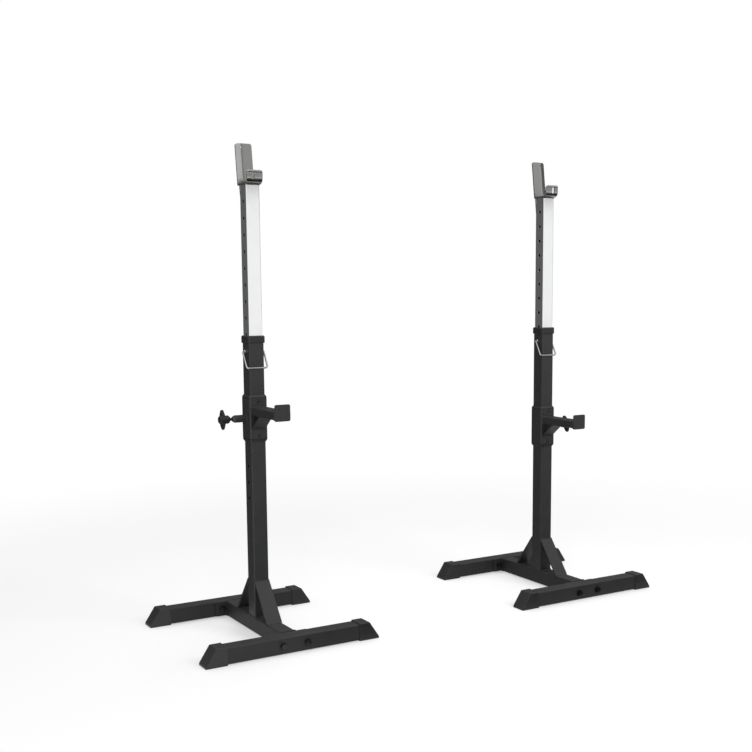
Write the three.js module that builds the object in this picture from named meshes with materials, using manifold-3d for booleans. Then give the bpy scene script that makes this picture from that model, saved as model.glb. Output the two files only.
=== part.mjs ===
// A pair of free-standing squat stands. Each stand has a low base of two foot beams and a cross beam,
// a post, a punched mast that telescopes in the post on a wire-lock pin and carries the bar cradle,
// and a carriage with a spotter arm that slides on the post and locks in its side holes with a
// sprung pin, which is pulled by a winged knob.
// Millimetres, +Z up. X runs along the barbell, the arms point to -Y, the origin lies on the floor
// midway between the stands. One stand is modelled with its outer side at +X; the left one is its mirror.

import * as THREE from "three";
import { mergeVertices } from "three/addons/utils/BufferGeometryUtils.js";
import Module from "manifold-3d";

const wasm = await Module();
wasm.setup();

// Driving dimensions of the pair
const standSpacing = 1126; // between the two posts' centre lines
const leftCarriageHole = 1; // the side hole that its pin is in, counted down from the top one at 0
const rightCarriageHole = 3;
const leftKnobTurn = THREE.MathUtils.degToRad(7); // of its wings, from upright
const rightKnobTurn = THREE.MathUtils.degToRad(21);

// Frame tubes and plates
const seam = 0.3; // left open wherever two pieces meet
const overrun = 5; // how far a cutting tool runs past what it cuts
const weldDepth = 1; // how far welded solids run into each other
const frameTube = 50; // outside size of the foot beams, cross beam and post
const frameWall = 2;
const frameCorner = 4;
const footSpread = 475; // between the centre lines of the front and rear foot beams
const footTubeLength = 480;
const postLength = 875;
const flangeThickness = 4;
const flangeStep = 1; // the flange stays this far inside the tube's top and bottom
const flangeMargin = 23; // from a bolt's centre to the flange's end
const flangeCorner = 6;
const ventDiameter = 12; // lets the coating run out of the cross beam
const strapThickness = 5;
const strapRise = 118; // foot strap, from the cross beam up the post
const strapRun = 92; // and along the cross beam

// Foot caps
const capWall = 2.4;
const capGrip = 24; // length of tube inside the cap
const capTopReach = 12; // past the tube's end, along the top
const capFootReach = 45; // past the tube's end, along the floor
const capToe = 6; // upright edge at the toe
const capBevel = 2;

// Fasteners of the base
const boltDiameter = 10;
const boltClearance = 0.5; // radial, in the beams and flanges
const threadClearance = 0.2; // radial, in a nut or a threaded boss
const hexAcross = 17; // across flats, head and nut alike
const headHeight = 6.5;
const nutHeight = 8;
const washerDiameter = 21;
const washerThickness = 1.8;
const boltEnd = 3; // thread showing past the nut
const nutToTube = 4.5; // free space between a washer and the cross beam

// Guide cap on top of the post
const guideOverhang = 4; // how far it stands out from the post
const guideGrip = 17; // how far it reaches down the post
const guideTop = 5.7; // thickness of its top wall
const guideChamfer = 3;

// Mast
const mastClearance = 0.5; // between mast and post, each side
const mastWall = 2;
const mastCorner = 3;
const mastLength = 822;
const holePitch = 50;
const firstHole = 50; // below the mast's top
const lastHoleMargin = 70; // plain tube left below the lowest hole, at least
const holesAbovePin = 9;
const pinBelowPostTop = 42;
const sideHoles = 7; // for the carriage, in the post's outer side
const sideHoleDrop = 156; // from the lock pin's axis down to the top side hole

// Lock pin and its bail
const pinDiameter = 10;
const pinClearance = 0.5;
const pinChamfer = 1.5;
const wireDiameter = 5.5;
const wireInPin = 7; // length of wire inside each end of the pin
const pinEndWall = 2; // solid pin left past the wire's end
const bailSideGap = 7; // from the post's side face to the wire
const bailDrop = 51; // from the pin's axis down to the cross wire
const bailBend = 9; // centre-line radius of the two corners in front
const eyeBend = 4; // and of the bends into the pin

// Bar cradle
const cradleWidth = 52;
const cradleThickness = 5;
const barSpace = 58; // between the back plate and the lip
const lipHeight = 27; // straight height of the lip above the seat
const lipFlare = 4; // outside radius of the lip's turned-out edge
const lipCorner = 7;
const seatBend = 14; // inside radius from the seat to the lip
const slotWidth = 9;
const slotHeight = 22;
const slotOffset = 6; // outwards from the middle of the lip
const backHeight = 121; // above the seat
const backCorner = 7;
const creaseStrip = 18; // width of the strip outside the crease
const tailLength = 56; // down the back of the mast
const tailTaper = 5; // each side, over the tail
const hangHole = 5; // diameter
const hangHoleDrop = 11; // below the top edge

// Carriage: sleeve, guide bushes and spotter arm, with heights from the locking pin's axis
const slideGap = 0.3; // between the bushes and the post
const bushWall = 1.9;
const bushDepth = 30; // length of a bush inside the sleeve
const collarHeight = 9;
const collarLip = 2.5; // upright edge of the collar before it tapers
const collarLand = 1.2; // flat ring at the collar's end
const sleeveWall = 2.5;
const sleeveHeight = 126;
const sleeveBelowPin = 63;
const sleeveCorner = 6;
const sleeveChamfer = 1;
const snapHole = 12; // in the sleeve's front, for the button that holds each bush
const snapDrop = 10; // from the sleeve's end to the button's centre
const snapRecess = 1; // from the sleeve's face down to the button
const armHeight = 25;
const armWall = 2;
const armCorner = 2.5;
const armLength = 169;
const armAbovePin = 11; // from the pin's axis to the underside of the arm
const braceRun = 55; // along the arm
const braceRise = 43; // down the sleeve
const braceThickness = 4;
const stopThickness = 5;
const stopBelow = 4; // under the arm
const stopAbove = 21; // over the arm
const stopCorner = 5;
const stopBevel = 1.2;

// Sprung locking pin of the carriage
const barrelDiameter = 23;
const barrelLength = 38;
const barrelCone = 8;
const barrelTip = 13; // diameter at the small end
const chamberDiameter = 15; // room for the spring
const chamberStart = 2.5; // from the sleeve's face
const chamberEnd = 6; // solid wall at the barrel's tip
const plungerDiameter = 10;
const plungerClearance = 0.3;
const plungerChamfer = 1;
const mastRoom = 0.8; // kept free between the pin's end and the mast
const shoulderDiameter = 13.6;
const shoulderLength = 3;
const stemDiameter = 8;
const springWire = 1.4;
const springTurns = 8;
const knobGap = 6; // between barrel and knob
const knobSpan = 62; // across its two wings
const knobNose = 12; // diameter of the hub's small end
const knobHub = 26;
const knobCone = 6; // from the small end to the hub's full diameter
const knobHubLength = 19; // from the small end to the wings
const wingThickness = 11;
const knobDomeLength = 7;
const knobGrip = 24; // stem inside the knob

// Ratios, angles and counts
const backLean = THREE.MathUtils.degToRad(7);
const creaseAngle = THREE.MathUtils.degToRad(12);
const flareAngle = THREE.MathUtils.degToRad(75);
const wingPower = 6; // how quickly a wing narrows from its tip to the hub
const wingEdgeShares = [0.9, 1, 1, 0.9]; // a wing's reach through its thickness
const wingPlaceShares = [0.05, 0.25, 0.75, 1];
const domeShares = [0.86, 0.46]; // radius of the knob's domed face, of the hub's radius
const cornerSteps = 2;
const holeSides = 8;
const roundSides = 12;
const wireSides = 6;
const bendSteps = 4;
const knobSteps = 36;
const springSides = 5;
const springSteps = 8; // for each turn

// Sizes that follow
const half = frameTube / 2;
const beamBottom = capWall + seam;
const beamMiddle = beamBottom + half;
const beamTop = beamBottom + frameTube;
const postBottom = beamTop + seam;
const postTop = postBottom + postLength;
const pinHeight = postTop - pinBelowPostTop;
const mastTube = frameTube - 2 * (frameWall + mastClearance);
const mastTop = pinHeight + holesAbovePin * holePitch + firstHole;
const sideHoleTop = pinHeight - sideHoleDrop;
const bushOuter = half + slideGap + bushWall;
const sleeveInner = bushOuter + seam;
const sleeveOuter = sleeveInner + sleeveWall;
const hexRadius = hexAcross / Math.sqrt(3);
const boltOffset = half + nutToTube + washerDiameter / 2;
const armWidth = frameTube;
const barrelEnd = sleeveOuter + barrelLength + barrelCone;
const knobStart = barrelEnd + knobGap;
const plungerStart = mastTube / 2 + mastRoom;
const shoulderStart = sleeveOuter + chamberStart + seam;
const wireRadius = wireDiameter / 2;
const bailSide = half + bailSideGap + wireRadius;
const bailFront = half + seam + wireRadius;
const lockPinEnd = bailSide - eyeBend - seam;

// Finishes
const finish = (color, roughness, metalness) => ({ color, roughness, metalness });
const finishes = {
  paint: finish("#2b2c2d", 0.45, 0.1),
  basePaint: finish("#242527", 0.5, 0.1),
  plastic: finish("#161617", 0.6, 0),
  chrome: finish("#d9dbdc", 0.22, 0.9),
  plate: finish("#9c9d9b", 0.38, 0.8),
  zinc: finish("#8f9295", 0.35, 0.9),
  spring: finish("#6d6f72", 0.4, 0.9),
};

// Solid modelling

/** A closed three.js geometry as a manifold solid. */
function solid(geometry) {
  const bare = geometry.clone();
  for (const name of ["normal", "uv"]) bare.deleteAttribute(name);
  const merged = mergeVertices(bare);
  return new wasm.Manifold(
    new wasm.Mesh({
      numProp: 3,
      vertProperties: merged.attributes.position.array,
      triVerts: new Uint32Array(merged.index.array),
    }),
  );
}

/** A manifold solid as a flat-shaded three.js geometry. */
function geometryOf(made) {
  const { vertProperties, triVerts } = made.getMesh();
  const indexed = new THREE.BufferGeometry();
  indexed.setAttribute("position", new THREE.BufferAttribute(vertProperties, 3));
  indexed.setIndex(new THREE.BufferAttribute(triVerts, 1));
  const flat = indexed.toNonIndexed();
  flat.computeVertexNormals();
  return flat;
}

/** The first geometry joined with the others, which overlap it. */
function join(first, ...others) {
  return geometryOf(others.reduce((all, next) => all.add(solid(next)), solid(first)));
}

/** The first geometry with the others cut away. */
function cut(first, ...tools) {
  return geometryOf(tools.reduce((all, next) => all.subtract(solid(next)), solid(first)));
}

/** What two geometries have in common. */
function common(first, second) {
  return geometryOf(solid(first).intersect(solid(second)));
}

/** A rectangle with round corners, centred on the origin. */
function roundedRectangle(width, height, corner, into = new THREE.Shape()) {
  const [w, h] = [width / 2 - corner, height / 2 - corner];
  into.moveTo(w + corner, -h);
  into.absarc(w, h, corner, 0, Math.PI / 2);
  into.absarc(-w, h, corner, Math.PI / 2, Math.PI);
  into.absarc(-w, -h, corner, Math.PI, 1.5 * Math.PI);
  into.absarc(w, -h, corner, 1.5 * Math.PI, 2 * Math.PI);
  return into;
}

/** A closed outline through the given points. */
function outline(points) {
  return new THREE.Shape(points.map(([x, y]) => new THREE.Vector2(x, y)));
}

/** A shape drawn in X and Y, pushed out along Z and centred on the origin. */
function plate(shape, thickness, options = {}) {
  const made = new THREE.ExtrudeGeometry(shape, {
    depth: thickness,
    bevelEnabled: false,
    curveSegments: cornerSteps,
    ...options,
  });
  return made.translate(0, 0, -thickness / 2);
}

/** A shape drawn in Y and Z, pushed out along X and centred on X = 0. */
function sidePlate(shape, thickness) {
  return plate(shape, thickness).rotateX(Math.PI / 2).rotateZ(Math.PI / 2);
}

/** A shape drawn in X and Z, pushed out along Y and centred on Y = 0. */
function frontPlate(shape, thickness, options) {
  return plate(shape, thickness, options).rotateX(Math.PI / 2);
}

/** A hollow bar along Z with round corners, centred on the origin. */
function hollowBar(width, height, wall, corner, length) {
  const section = roundedRectangle(width, height, corner);
  const inside = Math.max(corner - wall, corner / 4);
  section.holes.push(roundedRectangle(width - 2 * wall, height - 2 * wall, inside, new THREE.Path()));
  return plate(section, length);
}

/** A round rod along X, centred on the given point. */
function rodAlongX(diameter, length, x = 0, y = 0, z = 0, sides = holeSides) {
  const rod = new THREE.CylinderGeometry(diameter / 2, diameter / 2, length, sides);
  return rod.rotateZ(Math.PI / 2).translate(x, y, z);
}

/** A round rod along Y, centred on the given point. */
function rodAlongY(diameter, length, x = 0, y = 0, z = 0, sides = holeSides) {
  const rod = new THREE.CylinderGeometry(diameter / 2, diameter / 2, length, sides);
  return rod.translate(x, y, z);
}

/** A turned piece along X from pairs of place and radius, which end on the axis. */
function turned(pairs, sides = roundSides) {
  const profile = pairs.map(([place, radius]) => new THREE.Vector2(radius, place));
  return new THREE.LatheGeometry(profile, sides).rotateZ(-Math.PI / 2);
}

/** A skin over rings of points; a closed loft joins its last ring to its first. */
function loft(rings, closed = false) {
  const count = rings[0].length;
  const points = rings.flat();
  const faces = [];
  for (let i = 0; i < rings.length - (closed ? 0 : 1); i++) {
    const [here, next] = [i * count, ((i + 1) % rings.length) * count];
    for (let j = 0; j < count; j++) {
      const k = (j + 1) % count;
      faces.push([here + j, here + k, next + k], [here + j, next + k, next + j]);
    }
  }
  if (!closed) {
    for (let j = 1; j < count - 1; j++) {
      const last = points.length - count;
      faces.push([0, j + 1, j], [last, last + j, last + j + 1]);
    }
  }
  const volume = faces.reduce((sum, [a, b, c]) => sum + points[a].dot(points[b].clone().cross(points[c])), 0);
  if (volume < 0) faces.forEach((face) => face.reverse());
  const made = new THREE.BufferGeometry().setFromPoints(points);
  made.setIndex(faces.flat());
  return made.toNonIndexed();
}

/** A square ring about Z: its section's points are [half width, height, corner radius]. */
function squareRing(section) {
  const ring = ([side, height, corner]) => {
    const points = [];
    for (let step = 0; step < 4 * (cornerSteps + 1); step++) {
      const quarter = Math.floor(step / (cornerSteps + 1));
      const angle = ((quarter + (step % (cornerSteps + 1)) / cornerSteps) * Math.PI) / 2;
      const [signX, signY] = [[1, 1], [-1, 1], [-1, -1], [1, -1]][quarter];
      const x = signX * (side - corner) + corner * Math.cos(angle);
      const y = signY * (side - corner) + corner * Math.sin(angle);
      points.push(new THREE.Vector3(x, y, height));
    }
    return points;
  };
  return loft(section.map(ring), true);
}

// Base

/** A foot beam along X, drilled for its two bolts. */
function footBeam() {
  const tube = hollowBar(frameTube, frameTube, frameWall, frameCorner, footTubeLength);
  const drill = (x) => rodAlongY(boltDiameter + 2 * boltClearance, frameTube + 2 * overrun, x);
  return cut(tube.rotateY(Math.PI / 2), drill(-boltOffset), drill(boltOffset));
}

/** A foot cap whose tube ends at X = 0: a socket with a sloping nose, flat on the floor. */
function footCap() {
  const height = frameTube + 2 * (capWall + seam);
  const side = outline([
    [-capGrip, 0],
    [capFootReach, 0],
    [capFootReach, capToe],
    [capTopReach, height],
    [-capGrip, height],
  ]);
  const body = frontPlate(side, height - 2 * capBevel, {
    bevelEnabled: true,
    bevelSize: capBevel,
    bevelOffset: -capBevel,
    bevelThickness: capBevel,
    bevelSegments: 2,
  });
  const room = frameTube + 2 * seam;
  const depth = capGrip + seam + overrun;
  const socket = plate(roundedRectangle(room, room, frameCorner + seam), depth).rotateY(Math.PI / 2);
  return cut(body, socket.translate(seam - depth / 2, 0, beamMiddle));
}

/** The cross beam along Y with its two welded flanges. */
function crossBeam() {
  const reach = footSpread / 2 - half - seam;
  const tubeEnd = reach - flangeThickness / 2;
  const tube = hollowBar(frameTube, frameTube, frameWall, frameCorner, 2 * tubeEnd).rotateX(Math.PI / 2);
  const width = 2 * (boltOffset + flangeMargin);
  const flange = (side) => {
    const shape = roundedRectangle(width, frameTube - 2 * flangeStep, flangeCorner);
    return frontPlate(shape, flangeThickness).translate(0, side * (reach - flangeThickness / 2), 0);
  };
  const drills = [-boltOffset, boltOffset].map((x) =>
    rodAlongY(boltDiameter + 2 * boltClearance, footSpread, x),
  );
  const vent = rodAlongY(ventDiameter, footSpread);
  return cut(join(tube, flange(-1), flange(1)), ...drills, vent);
}

/** The post, drilled for the lock pin and, in its outer side, for the carriage. */
function post() {
  const tube = hollowBar(frameTube, frameTube, frameWall, frameCorner, postLength);
  const place = postLength / 2 - pinBelowPostTop;
  const drill = pinDiameter + 2 * pinClearance;
  const side = Array.from({ length: sideHoles }, (_, index) => {
    const height = place - sideHoleDrop - index * holePitch;
    return rodAlongX(drill, 2 * frameWall + overrun, half, 0, height);
  });
  return cut(tube, rodAlongX(drill, frameTube + 2 * overrun, 0, 0, place), ...side);
}

/** A flat strap that runs down at a slant: its outer face falls by rise over run. */
function slantedStrap(run, rise, thickness, width) {
  const slant = Math.hypot(run, rise);
  const side = outline([
    [0, rise],
    [0, rise - (thickness * slant) / run],
    [run - (thickness * slant) / rise, 0],
    [run, 0],
  ]);
  return sidePlate(side, width);
}

/** A hexagon bolt along Y with its washer, whose bearing face is at Y = 0 and whose shank points to +Y. */
function baseBolt() {
  const grip = frameTube + seam + flangeThickness + seam + washerThickness + nutHeight + boltEnd;
  const shank = rodAlongY(boltDiameter, grip + weldDepth, 0, (grip - weldDepth) / 2, 0);
  const washer = rodAlongY(washerDiameter, washerThickness, 0, -washerThickness / 2, 0, roundSides);
  const head = rodAlongY(2 * hexRadius, headHeight, 0, -washerThickness - headHeight / 2 + seam / 2, 0, 6);
  return join(shank, washer, head);
}

/** A hexagon nut with its washer, whose bearing face is at Y = 0 and which lies to +Y. */
function baseNut() {
  const washer = rodAlongY(washerDiameter, washerThickness, 0, washerThickness / 2, 0, roundSides);
  const nut = rodAlongY(2 * hexRadius, nutHeight, 0, washerThickness + nutHeight / 2 - seam / 2, 0, 6);
  const thread = rodAlongY(boltDiameter + 2 * threadClearance, 2 * nutHeight + 2 * overrun);
  return cut(join(washer, nut), thread);
}

/** The guide cap, a chamfered collar over the post's top that holds the mast straight. */
function guideCap() {
  const outer = half + guideOverhang;
  const corner = frameCorner + guideOverhang;
  const opening = mastTube / 2 + mastClearance;
  const socket = half + seam;
  return squareRing([
    [outer - guideChamfer, guideTop, corner - guideChamfer],
    [outer, guideTop - guideChamfer, corner],
    [outer, -guideGrip + guideChamfer / 2, corner],
    [outer - guideChamfer / 2, -guideGrip, corner],
    [socket, -guideGrip, frameCorner],
    [socket, seam, frameCorner],
    [opening, seam, mastCorner],
    [opening, guideTop, mastCorner],
  ]);
}

// Mast, pin and cradle

/** The mast, a tube with a row of holes through its two sides. */
function mastTubePiece() {
  const tube = hollowBar(mastTube, mastTube, mastWall, mastCorner, mastLength);
  const count = Math.floor((mastLength - firstHole - lastHoleMargin) / holePitch) + 1;
  const drills = Array.from({ length: count }, (_, index) => {
    const place = mastLength / 2 - firstHole - index * holePitch;
    return rodAlongX(pinDiameter + 2 * pinClearance, mastTube + 2 * overrun, 0, 0, place);
  });
  return cut(tube, ...drills);
}

/** The back plate, creased along its length and leaning back above the seat; Z = 0 is the mast's top. */
function backPlate() {
  const [width, thickness] = [cradleWidth, cradleThickness];
  const crease = width / 2 - creaseStrip;
  const [cos, sin] = [Math.cos(creaseAngle), Math.sin(creaseAngle)];
  const length = (backHeight + cradleThickness + seam) / Math.cos(backLean);
  const section = outline([
    [-width / 2, 0],
    [crease, 0],
    [crease + creaseStrip * cos, creaseStrip * sin],
    [crease + creaseStrip * cos - thickness * sin, creaseStrip * sin + thickness * cos],
    [crease - thickness * Math.tan(creaseAngle / 2), thickness],
    [-width / 2, thickness],
  ]);
  const bar = plate(section, length).translate(0, 0, length / 2);
  const front = roundedRectangle(width, 2 * length, backCorner);
  const window = frontPlate(front, width);
  const hole = rodAlongY(hangHole, width, crease, 0, length - hangHoleDrop);
  const leaning = cut(common(bar, window), hole).rotateX(-backLean);
  const tail = outline([
    [-mastTube / 2, 0],
    [-mastTube / 2 + tailTaper, -tailLength],
    [mastTube / 2 - tailTaper, -tailLength],
    [mastTube / 2, 0],
    [width / 2 - backCorner, tailLength / 4],
    [-width / 2 + backCorner, tailLength / 4],
  ]);
  const back = frontPlate(tail, thickness).translate(0, thickness / 2, 0);
  return join(leaning, back);
}

/** The hook that holds the bar: seat, bend, lip with a turned-out edge and a slot. Z = 0 is the seat. */
function hook() {
  const [thick, bend] = [cradleThickness, seatBend];
  const lip = -barSpace;
  const flare = lipFlare + thick;
  const side = new THREE.Shape();
  side.moveTo(thick / 2, 0);
  side.lineTo(lip + bend, 0);
  side.absarc(lip + bend, bend, bend, 1.5 * Math.PI, Math.PI, true);
  side.lineTo(lip, lipHeight);
  side.absarc(lip - flare, lipHeight, flare, 0, flareAngle, false);
  side.absarc(lip - flare, lipHeight, lipFlare, flareAngle, 0, true);
  side.absarc(lip + bend, bend, bend + thick, Math.PI, 1.5 * Math.PI, false);
  side.lineTo(thick / 2, -thick);
  const strap = sidePlate(side, cradleWidth);
  const height = 2 * (lipHeight + flare);
  const corners = frontPlate(roundedRectangle(cradleWidth, height, lipCorner), 4 * barSpace);
  const slot = roundedRectangle(slotWidth, slotHeight, slotWidth / 2);
  const slotTool = frontPlate(slot, 2 * seatBend).translate(slotOffset, lip, lipHeight / 2 + thick);
  const cornerTool = corners.translate(0, 0, lipHeight + flare * Math.sin(flareAngle) - height / 2);
  return cut(common(strap, cornerTool), slotTool);
}

/** The cradle: back plate and hook welded together. Z = 0 is the mast's top, Y = 0 its middle. */
function cradle() {
  const back = mastTube / 2 + seam;
  const seat = seam + cradleThickness;
  return join(backPlate().translate(0, back, 0), hook().translate(0, back, seat));
}

/** The lock pin along X; each of its ends is bored for the bail's wire. */
function lockPin() {
  const [radius, bore] = [pinDiameter / 2, wireRadius + seam];
  const depth = wireInPin + pinEndWall;
  return turned([
    [-lockPinEnd + depth, 0],
    [-lockPinEnd + depth, bore],
    [-lockPinEnd, bore],
    [-lockPinEnd, radius - pinChamfer],
    [-lockPinEnd + pinChamfer, radius],
    [lockPinEnd - pinChamfer, radius],
    [lockPinEnd, radius - pinChamfer],
    [lockPinEnd, bore],
    [lockPinEnd - depth, bore],
    [lockPinEnd - depth, 0],
  ]);
}

/** A path through the given points whose corners are arcs: pairs of point and radius. */
function roundedPath(corners) {
  const points = [corners[0][0]];
  for (let i = 1; i < corners.length - 1; i++) {
    const [at, radius] = corners[i];
    const back = corners[i - 1][0].clone().sub(at).normalize();
    const ahead = corners[i + 1][0].clone().sub(at).normalize();
    const centre = at.clone().addScaledVector(back, radius).addScaledVector(ahead, radius);
    for (let step = 0; step <= bendSteps; step++) {
      const angle = ((step / bendSteps) * Math.PI) / 2;
      const point = centre.clone().addScaledVector(ahead, -radius * Math.cos(angle));
      points.push(point.addScaledVector(back, -radius * Math.sin(angle)));
    }
  }
  points.push(corners.at(-1)[0]);
  return points;
}

/** A round wire along a flat path; the normal is that of the path's plane. */
function wireAlong(points, normal, radius) {
  const rings = points.map((at, index) => {
    const before = points[Math.max(index - 1, 0)];
    const after = points[Math.min(index + 1, points.length - 1)];
    const sideways = after.clone().sub(before).normalize().cross(normal);
    return Array.from({ length: wireSides }, (_, side) => {
      const turn = (side / wireSides) * 2 * Math.PI;
      const point = at.clone().addScaledVector(sideways, radius * Math.cos(turn));
      return point.addScaledVector(normal, radius * Math.sin(turn));
    });
  });
  return loft(rings);
}

/** The bail: one wire round the front of the post into both ends of the pin, whose axis is the origin. */
function bail() {
  const reach = Math.hypot(bailFront, bailDrop);
  const down = new THREE.Vector3(0, -bailFront, -bailDrop).divideScalar(reach);
  const across = new THREE.Vector3(1, 0, 0);
  const place = (side, depth) => across.clone().multiplyScalar(side).addScaledVector(down, depth);
  const stub = lockPinEnd - wireInPin;
  const path = roundedPath([
    [place(stub, 0), 0],
    [place(bailSide, 0), eyeBend],
    [place(bailSide, reach), bailBend],
    [place(-bailSide, reach), bailBend],
    [place(-bailSide, 0), eyeBend],
    [place(-stub, 0), 0],
  ]);
  return wireAlong(path, new THREE.Vector3().crossVectors(across, down), wireRadius);
}

// Carriage

/** The sleeve with the welded barrel of its locking pin; the pin's axis is Z = 0. */
function sleeve() {
  const [outer, inner, edge] = [sleeveOuter, sleeveInner, sleeveChamfer];
  const [bottom, top] = [-sleeveBelowPin, sleeveHeight - sleeveBelowPin];
  const insideCorner = frameCorner + bushWall;
  const ring = squareRing([
    [outer - edge, bottom, sleeveCorner - edge],
    [outer, bottom + edge, sleeveCorner],
    [outer, top - edge, sleeveCorner],
    [outer - edge, top, sleeveCorner - edge],
    [inner, top, insideCorner],
    [inner, bottom, insideCorner],
  ]);
  const barrel = turned([
    [outer - weldDepth, 0],
    [outer - weldDepth, barrelDiameter / 2],
    [outer + barrelLength, barrelDiameter / 2],
    [barrelEnd, barrelTip / 2],
    [barrelEnd, 0],
  ]);
  const guide = turned([
    [outer - sleeveWall - overrun, 0],
    [outer - sleeveWall - overrun, plungerDiameter / 2 + plungerClearance],
    [outer + chamberStart, plungerDiameter / 2 + plungerClearance],
    [outer + chamberStart, chamberDiameter / 2],
    [barrelEnd - chamberEnd, chamberDiameter / 2],
    [barrelEnd - chamberEnd, stemDiameter / 2 + plungerClearance],
    [barrelEnd + overrun, stemDiameter / 2 + plungerClearance],
    [barrelEnd + overrun, 0],
  ]);
  const snapHoles = [bottom + snapDrop, top - snapDrop].map((height) =>
    rodAlongY(snapHole, 2 * sleeveWall + overrun, 0, -outer, height, roundSides),
  );
  return cut(join(ring, barrel), guide, ...snapHoles);
}

/** A guide bush with a tapered collar and a button that snaps into the sleeve, whose end is Z = 0. */
function guideBush() {
  const inner = half + slideGap;
  const ring = squareRing([
    [bushOuter, -bushDepth, frameCorner + bushWall],
    [bushOuter, seam, frameCorner + bushWall],
    [sleeveOuter, seam, sleeveCorner],
    [sleeveOuter, seam + collarLip, sleeveCorner],
    [inner + collarLand, seam + collarHeight, frameCorner + collarLand],
    [inner, seam + collarHeight, frameCorner],
    [inner, -bushDepth, frameCorner],
  ]);
  const [root, face] = [bushOuter - weldDepth, sleeveOuter - snapRecess];
  const button = rodAlongY(snapHole - 2 * seam, face - root, 0, -(root + face) / 2, -snapDrop, roundSides);
  return join(ring, button);
}

/** The spotter arm: a flat tube, a slanted brace under its root and a stop plate at its end. */
function spotterArm() {
  const tube = hollowBar(armWidth, armHeight, armWall, armCorner, armLength);
  const arm = tube.rotateX(Math.PI / 2).translate(0, -armLength / 2, armHeight / 2);
  const brace = slantedStrap(braceRun, braceRise, braceThickness, armWidth - 2 * armCorner);
  brace.rotateX(Math.PI).translate(0, 0, weldDepth / 2);
  const height = stopBelow + armHeight + stopAbove;
  const stop = frontPlate(roundedRectangle(armWidth, height, stopCorner), stopThickness - 2 * stopBevel, {
    bevelEnabled: true,
    bevelSize: stopBevel,
    bevelOffset: -stopBevel,
    bevelThickness: stopBevel,
    bevelSegments: 1,
  });
  const stopPlace = -armLength - stopThickness / 2 + weldDepth;
  return join(arm, brace, stop.translate(0, stopPlace, height / 2 - stopBelow));
}

// Locking pin of the carriage

/** The plunger along X: a tip for the post's hole, a shoulder for the spring and a stem for the knob. */
function plunger() {
  const [tip, shoulder, stem] = [plungerDiameter / 2, shoulderDiameter / 2, stemDiameter / 2];
  const end = knobStart + knobGrip;
  return turned([
    [plungerStart, 0],
    [plungerStart, tip - plungerChamfer],
    [plungerStart + plungerChamfer, tip],
    [shoulderStart, tip],
    [shoulderStart, shoulder],
    [shoulderStart + shoulderLength, shoulder],
    [shoulderStart + shoulderLength, stem],
    [end, stem],
    [end, 0],
  ]);
}

/** The coil spring between the plunger's shoulder and the end of the barrel's chamber. */
function plungerSpring() {
  const radius = springWire / 2;
  const start = shoulderStart + shoulderLength + seam + radius;
  const end = barrelEnd - chamberEnd - seam - radius;
  const coil = shoulderDiameter / 2 - radius;
  const count = springTurns * springSteps;
  const rings = Array.from({ length: count + 1 }, (_, index) => {
    const turn = (index / springSteps) * 2 * Math.PI;
    const [y, z] = [Math.cos(turn), Math.sin(turn)];
    const x = start + ((end - start) * index) / count;
    return Array.from({ length: springSides }, (_, side) => {
      const around = (side / springSides) * 2 * Math.PI;
      const out = coil + radius * Math.cos(around);
      return new THREE.Vector3(x + radius * Math.sin(around), y * out, z * out);
    });
  });
  return loft(rings);
}

/** The winged knob along X: a conical nose, the hub, two wings at +Z and -Z and a domed face. */
function wingedKnob() {
  const hub = knobHub / 2;
  const wingStart = knobStart + knobHubLength;
  const domeStart = wingStart + wingThickness;
  const sections = [
    [knobStart, knobNose / 2, knobNose / 2],
    [knobStart + knobCone, hub, hub],
    [wingStart, hub, hub],
    ...wingPlaceShares.map((share, index) => [
      wingStart + share * wingThickness,
      hub,
      (knobSpan / 2) * wingEdgeShares[index],
    ]),
    ...domeShares.map((share, index) => [
      domeStart + ((index + 1) / domeShares.length) * knobDomeLength,
      hub * share,
      hub * share,
    ]),
  ];
  const rings = sections.map(([x, waist, tip]) =>
    Array.from({ length: knobSteps }, (_, index) => {
      const angle = (index / knobSteps) * 2 * Math.PI;
      const reach = waist + (tip - waist) * Math.cos(angle) ** wingPower;
      return new THREE.Vector3(x, reach * Math.sin(angle), reach * Math.cos(angle));
    }),
  );
  const depth = knobGrip + seam + overrun;
  const middle = knobStart + knobGrip + seam - depth / 2;
  return cut(loft(rings), rodAlongX(stemDiameter + 2 * seam, depth, middle, 0, 0, roundSides));
}

// Assembly

/** A named mesh with its own material. */
function piece(name, geometry, look) {
  const mesh = new THREE.Mesh(geometry, new THREE.MeshStandardMaterial(finishes[look]));
  mesh.name = name;
  return mesh;
}

const shapes = {
  footBeam: footBeam(),
  footCap: footCap(),
  crossBeam: crossBeam(),
  post: post(),
  footStrap: slantedStrap(strapRun, strapRise, strapThickness, frameTube),
  bolt: baseBolt(),
  nut: baseNut(),
  guideCap: guideCap(),
  mast: mastTubePiece(),
  cradle: cradle(),
  lockPin: lockPin(),
  bail: bail(),
  sleeve: sleeve(),
  bush: guideBush(),
  arm: spotterArm(),
  plunger: plunger(),
  spring: plungerSpring(),
  knob: wingedKnob(),
};

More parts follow.
